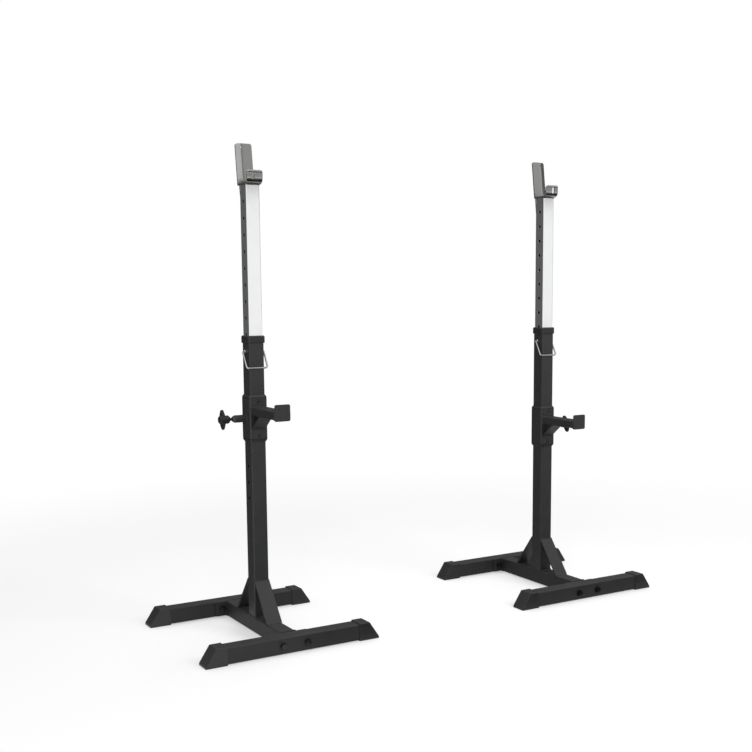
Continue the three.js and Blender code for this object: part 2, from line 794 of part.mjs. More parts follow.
/** The base and the post with its straps, bolts and guide cap. */
function frameGroup(side) {
  const group = new THREE.Group();
  const add = (name, shape, look, x, y, z, turn = 0) => {
    const mesh = piece(side + "_" + name, shapes[shape], look);
    mesh.position.set(x, y, z);
    mesh.rotation.z = turn;
    group.add(mesh);
  };
  for (const [end, sign] of [["front", -1], ["rear", 1]]) {
    const y = (sign * footSpread) / 2;
    const outside = y + sign * (half + seam);
    const inside = y - sign * (half + flangeThickness + 2 * seam);
    const turn = sign > 0 ? Math.PI : 0;
    add(end + "_foot_beam", "footBeam", "basePaint", 0, y, beamMiddle);
    add(end + "_foot_strap", "footStrap", "paint", 0, sign * (half + seam), postBottom, Math.PI - turn);
    for (const [flank, way] of [["inner", -1], ["outer", 1]]) {
      const spot = end + "_" + flank;
      add(spot + "_foot_cap", "footCap", "plastic", (way * footTubeLength) / 2, y, 0, way > 0 ? 0 : Math.PI);
      add(spot + "_base_bolt", "bolt", "zinc", way * boltOffset, outside, beamMiddle, turn);
      add(spot + "_base_nut", "nut", "zinc", way * boltOffset, inside, beamMiddle, turn);
    }
  }
  add("cross_beam", "crossBeam", "basePaint", 0, 0, beamMiddle);
  add("post_tube", "post", "paint", 0, 0, postBottom + postLength / 2);
  add("guide_cap", "guideCap", "plastic", 0, 0, postTop);
  add("lock_pin", "lockPin", "zinc", 0, 0, pinHeight);
  add("pin_bail", "bail", "zinc", 0, 0, pinHeight);
  return group;
}

/** The mast with its cradle. */
function mastGroup(side) {
  const group = new THREE.Group();
  const tube = piece(side + "_mast_tube", shapes.mast, "chrome");
  tube.position.z = -mastLength / 2;
  group.add(tube, piece(side + "_bar_cradle", shapes.cradle, "plate"));
  group.position.z = mastTop;
  return group;
}

/** The carriage in the given side hole of the post, with its knob's wings turned from upright. */
function carriageGroup(side, hole, knobTurn) {
  const group = new THREE.Group();
  const add = (name, shape, look) => {
    const mesh = piece(side + "_" + name, shapes[shape], look);
    group.add(mesh);
    return mesh;
  };
  add("carriage_sleeve", "sleeve", "paint");
  add("upper_guide_bush", "bush", "plastic").position.z = sleeveHeight - sleeveBelowPin;
  const lower = add("lower_guide_bush", "bush", "plastic");
  lower.position.z = -sleeveBelowPin;
  lower.rotation.y = Math.PI;
  add("spotter_arm", "arm", "paint").position.set(0, -sleeveOuter - seam, armAbovePin);
  add("lock_plunger", "plunger", "zinc");
  add("plunger_spring", "spring", "spring");
  add("star_knob", "knob", "plastic").rotation.x = -knobTurn;
  group.position.z = sideHoleTop - hole * holePitch;
  return group;
}

/** One whole stand; the sign is that of its place on X. */
function stand(side, sign, carriageHole, knobTurn) {
  const group = new THREE.Group();
  group.add(frameGroup(side), mastGroup(side), carriageGroup(side, carriageHole, knobTurn));
  group.position.x = (sign * standSpacing) / 2;
  group.scale.x = sign;
  return group;
}

const group = new THREE.Group();
group.add(stand("left", -1, leftCarriageHole, leftKnobTurn));
group.add(stand("right", 1, rightCarriageHole, rightKnobTurn));

export default group;
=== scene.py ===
"""The looks of a pair of squat stands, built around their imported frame.

Each piece of a stand is modelled finely where the frame holds its plain solid, and it moves with
the frame's body. Metres, +Z up; X runs from stand to stand and the spotter arms point to -Y. A
stand is modelled with its outer side at +X, and the left stand is its mirror.
"""

import logging
import math
from dataclasses import dataclass, replace
from enum import Enum
from functools import cached_property
from typing import Iterator, Sequence

import bpy
import numpy as np
from mathutils import Matrix, Vector


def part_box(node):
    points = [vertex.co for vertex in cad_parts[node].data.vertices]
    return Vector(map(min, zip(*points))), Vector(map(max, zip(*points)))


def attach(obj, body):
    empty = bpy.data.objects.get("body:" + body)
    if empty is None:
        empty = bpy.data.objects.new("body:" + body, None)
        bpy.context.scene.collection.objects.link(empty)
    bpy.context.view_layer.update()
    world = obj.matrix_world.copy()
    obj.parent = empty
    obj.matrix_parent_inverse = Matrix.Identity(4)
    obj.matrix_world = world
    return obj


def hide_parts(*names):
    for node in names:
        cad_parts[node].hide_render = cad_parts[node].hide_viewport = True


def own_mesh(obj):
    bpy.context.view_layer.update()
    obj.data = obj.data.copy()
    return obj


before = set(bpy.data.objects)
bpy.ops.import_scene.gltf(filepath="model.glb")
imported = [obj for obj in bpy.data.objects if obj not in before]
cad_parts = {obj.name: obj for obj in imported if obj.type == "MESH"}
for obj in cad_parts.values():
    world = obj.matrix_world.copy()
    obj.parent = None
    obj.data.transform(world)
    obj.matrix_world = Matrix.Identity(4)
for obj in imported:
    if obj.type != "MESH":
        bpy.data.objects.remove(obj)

log = logging.getLogger("squat_stands")

Points = Sequence[Sequence[float]]
Pair = tuple[float, float]
Triple = tuple[float, float, float]
Tree = bpy.types.NodeTree
Socket = bpy.types.NodeSocket
Sockets = bpy.types.bpy_prop_collection
Colour = tuple[float, float, float, float]
Value = Socket | float | Colour
Inputs = dict[str | int, Value]

MM = 0.001
SEAM = 0.3 * MM  # room between two pieces that meet
DRILLED = 11 * MM  # holes for bolts and for the two pins
HOLE_PITCH = 50 * MM
TUBE_WALL = 2 * MM
TUBE_CORNER = 4 * MM  # of beams and posts
RIM = 0.5 * MM  # radius of most cut edges
STRAP_RIM = 0.7 * MM  # radius of the long edges of straps
STRAP_CUT = 0.8 * MM  # how far from a corner a strap's cut end is rounded
ROUND = 48  # points round a turned piece
TINY = 1e-12  # keeps a length from being zero
IMAGE_SIDE = 752  # pixels of the square picture
SHADED_INSIDE = "bare_and_shaded"  # a mesh attribute: 1 where a tube's inside is, which is unplated and dull, and darkened by painted shade


class Side(Enum):
    """The two stands, by the sign of their place on X."""

    LEFT = -1
    RIGHT = 1

    @property
    def word(self) -> str:
        """The stand's word in the names of nodes and bodies."""
        return self.name.lower()

    @property
    def knob_turn(self) -> float:
        """Degrees that the knob's wings lean back from upright."""
        return 7.0 if self is Side.LEFT else 21.0


class Slot(Enum):
    """The record's material slots."""

    BASE_PAINT = "base_paint"
    POST_PAINT = "post_paint"
    BLACK_PLASTIC = "black_plastic"
    KNOB_PLASTIC = "knob_plastic"
    MAST_CHROME = "mast_chrome"
    CRADLE_CHROME = "cradle_chrome"
    BRIGHT_STEEL = "bright_steel"
    FASTENER_STEEL = "fastener_steel"
    SPRING_STEEL = "spring_steel"


# Skins


def linked(name: str, data: bpy.types.ID) -> bpy.types.Object:
    """A new object that is in the scene."""
    made = bpy.data.objects.new(name, data)
    bpy.context.scene.collection.objects.link(made)
    return made


@dataclass(frozen=True)
class Skin:
    """A surface as arrays.

    Args:
        points: The points, one row each.
        corners: The points of all faces, one face after another.
        counts: The number of corners of each face.
    """

    points: np.ndarray
    corners: np.ndarray
    counts: np.ndarray

    @staticmethod
    def over(grid: np.ndarray, ring: bool = False) -> "Skin":
        """A closed skin over rings of points; each row of the grid is one ring.

        Args:
            grid: Points by row and column; the columns close on themselves.
            ring: Joins the last row to the first, as on a tube with a wall; otherwise one face
                closes each of the two.

        Returns:
            The skin with its faces outwards.
        """
        rows, columns = grid.shape[:2]
        index = np.arange(rows * columns).reshape(rows, columns)
        here, there = (index, np.roll(index, -1, axis=0)) if ring else (index[:-1], index[1:])
        quads = np.stack([here, np.roll(here, -1, 1), np.roll(there, -1, 1), there], axis=-1)
        corners, counts = [quads.reshape(-1)], [np.full(quads.shape[0] * columns, 4)]
        if not ring:
            corners += [index[0][::-1], index[-1]]
            counts += [[columns], [columns]]
        made = Skin(grid.reshape(-1, 3), np.concatenate(corners), np.concatenate(counts))
        return made.outward()

    @staticmethod
    def of_mesh(mesh: bpy.types.Mesh) -> "Skin":
        """The skin of a Blender mesh.

        Args:
            mesh: A mesh, whose faces may have any number of corners.

        Returns:
            Its points and faces.
        """
        points = np.empty(len(mesh.vertices) * 3)
        corners = np.empty(len(mesh.loops), np.int32)
        counts = np.empty(len(mesh.polygons), np.int32)
        mesh.vertices.foreach_get("co", points)
        mesh.loops.foreach_get("vertex_index", corners)
        mesh.polygons.foreach_get("loop_total", counts)
        return Skin(points.reshape(-1, 3), corners, counts)

    def flipped(self) -> "Skin":
        """The skin with every face turned round."""
        return Skin(self.points, self.corners[::-1], self.counts[::-1])

    def outward(self) -> "Skin":
        """The skin with its faces outwards, told by the sum of a . (b x c) over its triangles."""
        starts, spans = np.cumsum(self.counts) - self.counts, self.counts - 2
        first = np.repeat(starts, spans)
        step = np.arange(spans.sum()) - np.repeat(np.cumsum(spans) - spans, spans)
        fan = self.corners[np.stack([first, first + step + 1, first + step + 2])]
        a, b, c = self.points[fan]
        return self if np.einsum("ij,ij->", a, np.cross(b, c)) > 0 else self.flipped()

    def moved(self, x: float = 0.0, y: float = 0.0, z: float = 0.0) -> "Skin":
        """The skin at another place."""
        return replace(self, points=self.points + (x, y, z))

    def turned(self, degrees: float, axis: str) -> "Skin":
        """The skin turned about one of the axes through the origin."""
        turn = np.array(Matrix.Rotation(math.radians(degrees), 3, axis))
        return replace(self, points=self.points @ turn.T)

    def mirrored(self, axis: int) -> "Skin":
        """The mirror of the skin across the origin along one axis."""
        signs = np.ones(3)
        signs[axis] = -1
        return replace(self, points=self.points * signs).flipped()

    def with_others(self, *others: "Skin") -> "Skin":
        """One skin that holds this one and the others as they are."""
        skins = (self, *others)
        offsets = np.cumsum([0] + [len(skin.points) for skin in skins])
        return Skin(
            np.concatenate([skin.points for skin in skins]),
            np.concatenate([skin.corners + offset for skin, offset in zip(skins, offsets)]),
            np.concatenate([skin.counts for skin in skins]),
        )

    def mesh(self, name: str) -> bpy.types.Mesh:
        """The skin as a Blender mesh.

        Args:
            name: What the mesh is called.

        Returns:
            The mesh, checked and with its edges.
        """
        mesh = bpy.data.meshes.new(name)
        mesh.vertices.add(len(self.points))
        mesh.vertices.foreach_set("co", self.points.astype(np.float32).ravel())
        mesh.loops.add(len(self.corners))
        mesh.loops.foreach_set("vertex_index", self.corners.astype(np.int32))
        mesh.polygons.add(len(self.counts))
        starts = np.cumsum(self.counts) - self.counts
        mesh.polygons.foreach_set("loop_start", starts.astype(np.int32))
        mesh.update(calc_edges=True)
        mesh.validate()
        return mesh

    def carved(self, *tools: "Skin") -> "Skin":
        """The skin with other closed skins cut away from it.

        Args:
            tools: The skins to cut away.

        Returns:
            What is left.
        """
        whole = linked("whole", self.mesh("whole"))
        tool = linked("tool", tools[0].with_others(*tools[1:]).mesh("tool"))
        change = whole.modifiers.new("carve", "BOOLEAN")
        change.operation, change.solver, change.object = "DIFFERENCE", "EXACT", tool
        shaped = whole.evaluated_get(bpy.context.evaluated_depsgraph_get())
        made = Skin.of_mesh(shaped.to_mesh())
        shaped.to_mesh_clear()
        for used in (whole, tool):
            mesh = used.data
            bpy.data.objects.remove(used)
            bpy.data.meshes.remove(mesh)
        return made


# Outlines and forms


def softened(points: Points, radius: float, steps: int = 4) -> np.ndarray:
    """A closed outline whose corners are rounded.

    Each corner becomes a parabola that starts and ends at the radius from it, or at a third
    of the shorter side: (1 - t)^2 before + 2 t (1 - t) corner + t^2 after.

    Args:
        points: The corners in order.
        radius: How far from a corner its rounding starts.
        steps: Pieces that each rounding is made of.

    Returns:
        The outline's points, one row each.
    """
    corner = np.asarray(points, float)
    before, after = np.roll(corner, 1, axis=0) - corner, np.roll(corner, -1, axis=0) - corner
    sides = [np.linalg.norm(way, axis=1, keepdims=True) for way in (before, after)]
    reach = np.minimum(radius, np.minimum(*sides) / 3)
    start, end = corner + before / sides[0] * reach, corner + after / sides[1] * reach
    t = np.linspace(0, 1, steps + 1)[None, :, None]
    arcs = (1 - t) ** 2 * start[:, None] + 2 * t * (1 - t) * corner[:, None] + t**2 * end[:, None]
    return arcs.reshape(-1, corner.shape[1])


def rounded_rectangle(width: float, depth: float, radius: float, steps: int = 6) -> np.ndarray:
    """A rectangle with arcs of the given radius at its corners, centred on the origin.

    Args:
        width: Its side along X.
        depth: Its side along Y.
        radius: Radius of the arcs.
        steps: Pieces of each arc.

    Returns:
        Its points, one row each.
    """
    angle = (np.arange(4)[:, None] + np.linspace(0, 1, steps + 1)) * math.pi / 2
    sign_x, sign_y = np.array([[1, -1, -1, 1], [1, 1, -1, -1]])[..., None]
    x = sign_x * (width / 2 - radius) + radius * np.cos(angle)
    y = sign_y * (depth / 2 - radius) + radius * np.sin(angle)
    return np.stack([x, y], axis=-1).reshape(-1, 2)


def level_loop(width: float, depth: float, radius: float) -> np.ndarray:
    """A rounded rectangle as points in space at Z = 0, for a bead round a tube."""
    flat = rounded_rectangle(width, depth, radius)
    return np.column_stack([flat, np.zeros(len(flat))])


def stacked(sections: Sequence[tuple[np.ndarray, float]], ring: bool = False) -> Skin:
    """A skin over outlines of equally many points, each at its own height."""
    rows = [np.column_stack([outline, np.full(len(outline), z)]) for outline, z in sections]
    return Skin.over(np.stack(rows), ring)


def inset(outline: np.ndarray, depth: float) -> np.ndarray:
    """An outline drawn in by a depth, each point along the mean normal of its two sides.

    Args:
        outline: The outline's points.
        depth: How far it is drawn in.

    Returns:
        The new points.
    """
    way = np.roll(outline, -1, axis=0) - np.roll(outline, 1, axis=0)
    normal = np.column_stack([way[:, 1], -way[:, 0]])
    normal /= np.maximum(np.linalg.norm(normal, axis=1, keepdims=True), TINY)
    x, y = outline.T
    area = np.sum(x * np.roll(y, -1) - y * np.roll(x, -1))
    return outline - normal * depth * np.sign(area)


def slab(outline: np.ndarray, thickness: float, edge: float, steps: int = 3) -> Skin:
    """An outline pushed out along Z about Z = 0, its rims rounded by a quarter circle.

    Args:
        outline: The outline's points.
        thickness: From face to face.
        edge: Radius of the rims.
        steps: Pieces that each rim's quarter circle is made of.

    Returns:
        The closed slab.
    """
    angle = np.linspace(0, math.pi / 2, steps + 1)
    lower = [(inset(outline, edge * (1 - math.sin(a))), edge * (1 - math.cos(a))) for a in angle]
    upper = [(shape, thickness - z) for shape, z in reversed(lower)]
    return stacked([*lower, *upper]).moved(z=-thickness / 2)


def with_mirror(half: Points) -> list[Sequence[float]]:
    """One half of a row of points, followed by its mirror across X = 0."""
    return [*half, *((-x, *rest) for x, *rest in reversed(half))]


def rounded_end(
    length: float, corner: float, rows: int, steps: int
) -> tuple[np.ndarray, np.ndarray]:
    """Places along a strap that ends in two quarter circles, and how far each one draws it in.

    Args:
        length: The strap's length.
        corner: Radius of its two last corners.
        rows: Places along the straight stretch.
        steps: Places along the quarter circles.

    Returns:
        The places and their depths.
    """
    angle, straight = np.linspace(0, math.pi / 2, steps + 1)[1:], length - corner
    places = [np.linspace(0, straight, rows), straight + corner * np.sin(angle)]
    return np.concatenate(places), np.concatenate([np.zeros(rows), corner * (1 - np.cos(angle))])


def along_x(skin: Skin) -> Skin:
    """A skin drawn in Y and Z and stacked up, laid so that it is stacked along X."""
    return replace(skin, points=skin.points[:, [2, 0, 1]])


def along_y(skin: Skin) -> Skin:
    """A skin drawn in X and Z and stacked up, laid so that it is stacked along Y."""
    return replace(skin, points=skin.points[:, [0, 2, 1]]).flipped()


def hollow_bar(width: float, corner: float, length: float, depth: float = 0) -> Skin:
    """A rectangular tube about the Z axis, centred on the origin, open at both ends."""
    depth, wall, end = depth or width, TUBE_WALL, length / 2
    outer = rounded_rectangle(width, depth, corner)
    inner = rounded_rectangle(width - 2 * wall, depth - 2 * wall, max(corner - wall, wall / 4))
    return stacked([(outer, -end), (outer, end), (inner, end), (inner, -end)], ring=True)


def square_ring(profile: Points, edge: float) -> Skin:
    """A square ring about Z from a section of half width, height and corner radius.

    Args:
        profile: The section's corners in order.
        edge: How far from a corner of the section its rounding starts.

    Returns:
        The ring's skin.
    """
    rows = softened(profile, edge, steps=3)
    outlines = [(rounded_rectangle(2 * half, 2 * half, corner), z) for half, z, corner in rows]
    return stacked(outlines, ring=True)


def angles(sides: int) -> np.ndarray:
    """Equal steps round a full turn, in radians."""
    return np.arange(sides) / sides * 2 * math.pi


def about_x(place: np.ndarray, radius: np.ndarray, angle: np.ndarray) -> np.ndarray:
    """Points at places along X, a radius away from it and turned from +Y by an angle."""
    parts = np.broadcast_arrays(place, radius * np.cos(angle), radius * np.sin(angle))
    return np.stack(parts, axis=-1)


def rounded_profile(profile: Points, radius: float, ring: bool, steps: int = 3) -> np.ndarray:
    """A profile with its corners rounded; the two ends of an open one stay sharp.

    Args:
        profile: Its corners in order.
        radius: How far from a corner its rounding starts.
        ring: True if the profile closes on itself.
        steps: Pieces that each rounding is made of.

    Returns:
        The profile's points, one row each.
    """
    soft = softened(profile, radius, steps)
    inner = soft[steps + 1 : -(steps + 1)]
    return soft if ring else np.vstack([profile[0], inner, profile[-1]])


def revolved(profile: Points, edge: float = 0, sides: int = ROUND, ring: bool = False) -> Skin:
    """A profile of places along X and radii, turned about the X axis.

    Args:
        profile: Pairs of place and radius.
        edge: How far from a corner of the profile its rounding starts, or 0.
        sides: Points round the axis.
        ring: Closes the profile on itself, as on a bush; otherwise its ends get flat faces.

    Returns:
        The turned skin.
    """
    rows = rounded_profile(profile, edge, ring) if edge else np.asarray(profile, float)
    place, radius = rows.T[..., None]
    return Skin.over(about_x(place, radius, angles(sides)), ring)


def rod(diameter: float, length: float, axis: str) -> Skin:
    """A plain round rod along an axis, centred on the origin, used as a drill."""
    made = revolved([(-length / 2, diameter / 2), (length / 2, diameter / 2)], sides=32)
    return made if axis == "X" else made.turned(90, "Z")


def wire(
    path: np.ndarray,
    radius: np.ndarray | float,
    pole: Sequence[float] | None = None,
    sides: int = 16,
    closed: bool = False,
) -> Skin:
    """A round wire along a path in one plane or along a helix.

    Each ring is centre + radius (cos a * sideways + sin a * upright), where upright is the pole
    made square to the path and sideways is across both.

    Args:
        path: Points of the centre line.
        radius: One radius, or one for each point.
        pole: A direction that the path never takes; the normal of its mean plane if left out.
        sides: Points round the wire.
        closed: Joins the last ring to the first.

    Returns:
        The wire's skin.
    """
    ahead = np.roll(path, -1, axis=0) - np.roll(path, 1, axis=0)
    if not closed:
        ahead[0], ahead[-1] = path[1] - path[0], path[-1] - path[-2]
    ahead /= np.linalg.norm(ahead, axis=1, keepdims=True)
    if pole is None:
        pole = np.linalg.svd(path - path.mean(axis=0), full_matrices=False)[2][2]
    upright = np.asarray(pole) - (ahead @ np.asarray(pole))[:, None] * ahead
    upright /= np.linalg.norm(upright, axis=1, keepdims=True)
    sideways = np.cross(ahead, upright)
    angle = angles(sides)[:, None]
    spread = np.broadcast_to(radius, len(path))[:, None, None]
    round_it = np.cos(angle) * sideways[:, None] + np.sin(angle) * upright[:, None]
    return Skin.over(path[:, None] + spread * round_it, closed)


def runs(path: np.ndarray) -> np.ndarray:
    """How far along a path each of its points lies."""
    return np.cumsum([0, *np.linalg.norm(np.diff(path, axis=0), axis=1)])


def points_at(path: np.ndarray, places: np.ndarray) -> np.ndarray:
    """The points of a path that lie at the given places along it."""
    return np.column_stack([np.interp(places, runs(path), column) for column in path.T])


def rounded_route(points: Points, radii: Sequence[float], steps: int = 12) -> np.ndarray:
    """A path through points whose inner corners are arcs of the given radii.

    An arc's points are centre + (corner - centre) turned: the centre lies on the bisector at
    radius / sin(half angle), and the two tangent points at radius / tan(half angle).

    Args:
        points: The path's ends and corners.
        radii: One radius for each inner corner.
        steps: Pieces that each arc is made of.

    Returns:
        The path's points, one row each.
    """
    at = np.asarray(points, float)
    pieces = [at[:1]]
    for corner, before, after, radius in zip(at[1:-1], at[:-2], at[2:], radii):
        back = (before - corner) / np.linalg.norm(before - corner)
        ahead = (after - corner) / np.linalg.norm(after - corner)
        half = math.acos(float(np.clip(back @ ahead, -1, 1))) / 2
        middle = (back + ahead) / np.linalg.norm(back + ahead)
        centre = corner + middle * radius / math.sin(half)
        start = corner + back * radius / math.tan(half) - centre
        end = corner + ahead * radius / math.tan(half) - centre
        sweep = math.pi - 2 * half
        t = np.linspace(0, 1, steps + 1)[:, None] * sweep
        pieces.append(centre + (np.sin(sweep - t) * start + np.sin(t) * end) / math.sin(sweep))
    return np.concatenate([*pieces, at[-1:]])


def slanted_flat(face: Pair, foot: Pair, thickness: float, width: float) -> Skin:
    """A flat strap from an upright face slanting to a level one, with its ends cut to fit them.

    Along the upright face the cut is thickness * slant / run long, along the level one
    thickness * slant / rise.

    Args:
        face: Y and Z of its outer line on the upright face.
        foot: Y and Z of its outer line on the level face.
        thickness: The strap's thickness.
        width: The strap's width along X.

    Returns:
        The strap.
    """
    run, rise = face[0] - foot[0], face[1] - foot[1]
    slant = math.hypot(run, rise)
    inner_face = (face[0], face[1] - math.copysign(thickness * slant / run, rise))
    inner_foot = (foot[0] + thickness * slant / abs(rise), foot[1])
    side = softened([face, inner_face, inner_foot, foot], STRAP_CUT)
    return along_x(slab(side, width, STRAP_RIM))


@dataclass(frozen=True)
class WeldBead:
    """A weld bead: a rope of overlapping drops, half sunk into the joint it fills.

    Args:
        radius: Half the bead's width.
        drop: Length of one drop.
        relief: How far the drops stand out, as a share of the radius.
        steps: Rings along one drop.
    """

    radius: float = 2.2 * MM
    drop: float = 3.0 * MM
    relief: float = 0.16
    steps: int = 6

    def along(self, points: Points, closed: bool = False) -> Skin:
        """A bead whose radius at the run s is r (1 + relief |sin(pi s / drop)|).

        Args:
            points: Points of its centre line.
            closed: Joins the last point to the first.

        Returns:
            The bead's skin.
        """
        at = np.asarray(points, float)
        if closed:
            at = np.vstack([at, at[:1]])
        length = runs(at)[-1]
        count = max(int(length / self.drop), 2) * self.steps
        s = np.linspace(0, length, count + 1)[: -1 if closed else None]
        path = points_at(at, s)
        swell = 1 + self.relief * np.abs(np.sin(math.pi * s / self.drop))
        if not closed:
            taper = np.minimum(s, length - s) / self.drop
            swell *= np.sqrt(np.clip(taper, 0.1, 1))
        return wire(path, self.radius * swell, sides=8, closed=closed)

    def across(self, half: float, y: float, z: float) -> Skin:
        """A straight bead along X, by half its length."""
        return self.along([(-half, y, z), (half, y, z)])


# Finishes


@dataclass
class Graph:
    """A node tree with short ways to add and join nodes."""

    tree: Tree

    def join(self, sockets: Sockets, values: Inputs) -> None:
        """Gives sockets, by name or number, their values or joins output sockets to them."""
        for key, value in values.items():
            if isinstance(value, Socket):
                self.tree.links.new(value, sockets[key])
            else:
                sockets[key].default_value = value

    def add(
        self, kind: str, inputs: Inputs | None = None, **settings: str | int | Tree
    ) -> bpy.types.Node:
        """A new node.

        Args:
            kind: The node's type without its ShaderNode prefix.
            inputs: Values or output sockets for its inputs, by name or number.
            settings: Properties of the node.

        Returns:
            The node.
        """
        node = self.tree.nodes.new("ShaderNode" + kind)
        for key, value in settings.items():
            setattr(node, key, value)
        self.join(node.inputs, inputs or {})
        return node

    def place(self) -> Socket:
        """The point's place in its object."""
        return self.add("TexCoord").outputs["Object"]

    def noise(
        self, scale: Value, detail: float, place: Socket | None = None, **more: float
    ) -> Socket:
        """A noise over the object, or over another place."""
        inputs = {"Vector": place or self.place(), "Scale": scale, "Detail": detail, **more}
        return self.add("TexNoise", inputs).outputs[0]

    def bump(self, given: Sockets, height: Socket) -> Socket:
        """A normal from a height, with the group's Strength and Depth."""
        inputs = {"Strength": given["Strength"], "Distance": given["Depth"], "Height": height}
        return self.add("Bump", inputs).outputs[0]

    def blend(self, share: Value, first: Value, second: Value) -> Socket:
        """A mix of two colours by a share."""
        return self.add("Mix", {0: share, 6: first, 7: second}, data_type="RGBA").outputs[2]

    def reach(self, value: Value, low: float, high: float) -> Socket:
        """A value from 0 to 1 spread over a range."""
        return self.add("MapRange", {0: value, 3: low, 4: high}).outputs[0]

    def math(self, operation: str, *values: Value) -> Socket:
        """A math node's result."""
        return self.add("Math", dict(enumerate(values)), operation=operation).outputs[0]

    def emission(self, level: float, strength: Value = 1.0) -> Socket:
        """A grey glow of a level from 0 to 1."""
        inputs = {"Color": (level, level, level, 1), "Strength": strength}
        return self.add("Emission", inputs).outputs[0]


def fresh_graph(owner: bpy.types.Material | bpy.types.World) -> Graph:
    """The emptied node tree of a new material or world."""
    owner.use_nodes = True
    owner.node_tree.nodes.clear()
    return Graph(owner.node_tree)


def shader_group(
    name: str, inputs: dict[str, float], outputs: dict[str, str]
) -> tuple[Graph, Sockets, Sockets]:
    """A new shader node group.

    Args:
        name: The group's name.
        inputs: Its number inputs with their first values.
        outputs: Its outputs with the last words of their socket types.

    Returns:
        The group's graph, its input sockets by name and its output node's sockets by name.
    """
    tree = bpy.data.node_groups.new(name, "ShaderNodeTree")
    for key, value in inputs.items():
        socket = tree.interface.new_socket(key, in_out="INPUT", socket_type="NodeSocketFloat")
        socket.default_value = value
    for key, kind in outputs.items():
        tree.interface.new_socket(key, in_out="OUTPUT", socket_type="NodeSocket" + kind)
    entry, end = tree.nodes.new("NodeGroupInput"), tree.nodes.new("NodeGroupOutput")
    return Graph(tree), entry.outputs, end.inputs


class SharedEffects:
    """Shader groups that more than one finish uses, each built when it is first asked for."""

    coarseness = 40.0  # size of the mottle against the size of the grain

    @cached_property
    def grain(self) -> Tree:
        """The orange-peel of a sprayed or moulded skin, as a normal and as a mottle."""
        inputs = {"Size": 0.9 * MM, "Depth": 0.03 * MM, "Strength": 0.5}
        outputs = {"Normal": "Vector", "Mottle": "Float"}
        graph, given, result = shader_group("grain", inputs, outputs)
        scale = graph.math("DIVIDE", 1.0, given["Size"])
        fine = graph.noise(scale, detail=3.0, Roughness=0.55)
        coarse = graph.noise(graph.math("DIVIDE", scale, self.coarseness), detail=4.0)
        graph.join(result, {"Normal": graph.bump(given, fine), "Mottle": coarse})
        return graph.tree

    @cached_property
    def edge_wear(self) -> Tree:
        """Where a skin is thin or rubbed along its edges, as a mask broken up by noise."""
        inputs = {"Width": 0.8 * MM, "Amount": 0.5}
        graph, given, result = shader_group("edge_wear", inputs, {"Mask": "Float"})
        round_normal = graph.add("Bevel", {"Radius": given["Width"]}, samples=4).outputs[0]
        true_normal = graph.add("NewGeometry").outputs["Normal"]
        both = {0: round_normal, 1: true_normal}
        agree = graph.add("VectorMath", both, operation="DOT_PRODUCT").outputs["Value"]
        edge = graph.math("SUBTRACT", 1.0, agree)
        chips = graph.noise(scale=160.0, detail=5.0)
        broken = graph.math("MULTIPLY", edge, graph.reach(chips, 0.0, 6.0))
        mask = graph.math("MULTIPLY", broken, given["Amount"])
        graph.join(result, {"Mask": graph.add("Clamp", {"Value": mask}).outputs[0]})
        return graph.tree

    @cached_property
    def dust(self) -> Tree:
        """Dust that lies on what faces up, thicker in soft patches."""
        graph, given, result = shader_group("dust", {"Amount": 0.3}, {"Mask": "Float"})
        normal = graph.add("NewGeometry").outputs["Normal"]
        up = graph.reach(graph.add("SeparateXYZ", {0: normal}).outputs["Z"], 0.0, 1.0)
        patches = graph.reach(graph.noise(scale=14.0, detail=6.0), 0.2, 1.0)
        specks = graph.reach(graph.noise(scale=1400.0, detail=1.0), 0.3, 1.3)
        grains = graph.math("MULTIPLY", graph.math("MULTIPLY", up, patches), specks)
        mask = graph.math("MULTIPLY", grains, given["Amount"])
        graph.join(result, {"Mask": graph.add("Clamp", {"Value": mask}).outputs[0]})
        return graph.tree

    @cached_property
    def drawing_lines(self) -> Tree:
        """Fine lines along Z that drawing and polishing leave, as a normal and as a haze."""
        inputs = {"Across": 900.0, "Along": 6.0, "Depth": 0.003 * MM, "Strength": 0.3}
        outputs = {"Normal": "Vector", "Haze": "Float"}
        graph, given, result = shader_group("drawing_lines", inputs, outputs)
        ways = {0: given["Across"], 1: given["Across"], 2: given["Along"]}
        both = {0: graph.place(), 1: graph.add("CombineXYZ", ways).outputs[0]}
        stretched = graph.add("VectorMath", both, operation="MULTIPLY").outputs[0]
        lines = graph.noise(1.0, detail=4.0, place=stretched)
        haze = graph.math("MULTIPLY", lines, graph.noise(scale=22.0, detail=5.0))
        graph.join(result, {"Normal": graph.bump(given, lines), "Haze": haze})
        return graph.tree


EFFECTS = SharedEffects()


@dataclass(frozen=True)
class Finish:
    """What every finish holds.

    Args:
        slot: The record's slot that the finish belongs to.
        colour: Linear base colour.
        roughness: Lowest and highest roughness over the surface.
    """

    slot: Slot
    colour: Triple
    roughness: Pair

    def tone(self, factor: float) -> Colour:
        """The colour made lighter or darker by a factor."""
        return (*(min(part * factor, 1.0) for part in self.colour), 1.0)

    def material(self) -> bpy.types.Material:
        """The finish as a material."""
        material = bpy.data.materials.new(self.slot.value)
        material.use_nodes = True
        graph = Graph(material.node_tree)
        graph.join(graph.tree.nodes["Principled BSDF"].inputs, self.surface(graph))
        return material

    def effect(self, graph: Graph, tree: Tree, **values: float) -> Sockets:
        """The outputs of a shared effect that is placed in the finish with its own values."""
        node = graph.add("Group", node_tree=tree)
        graph.join(node.inputs, values)
        return node.outputs

    def surface(self, graph: Graph) -> Inputs:
        """What goes into the shader's inputs."""
        raise NotImplementedError


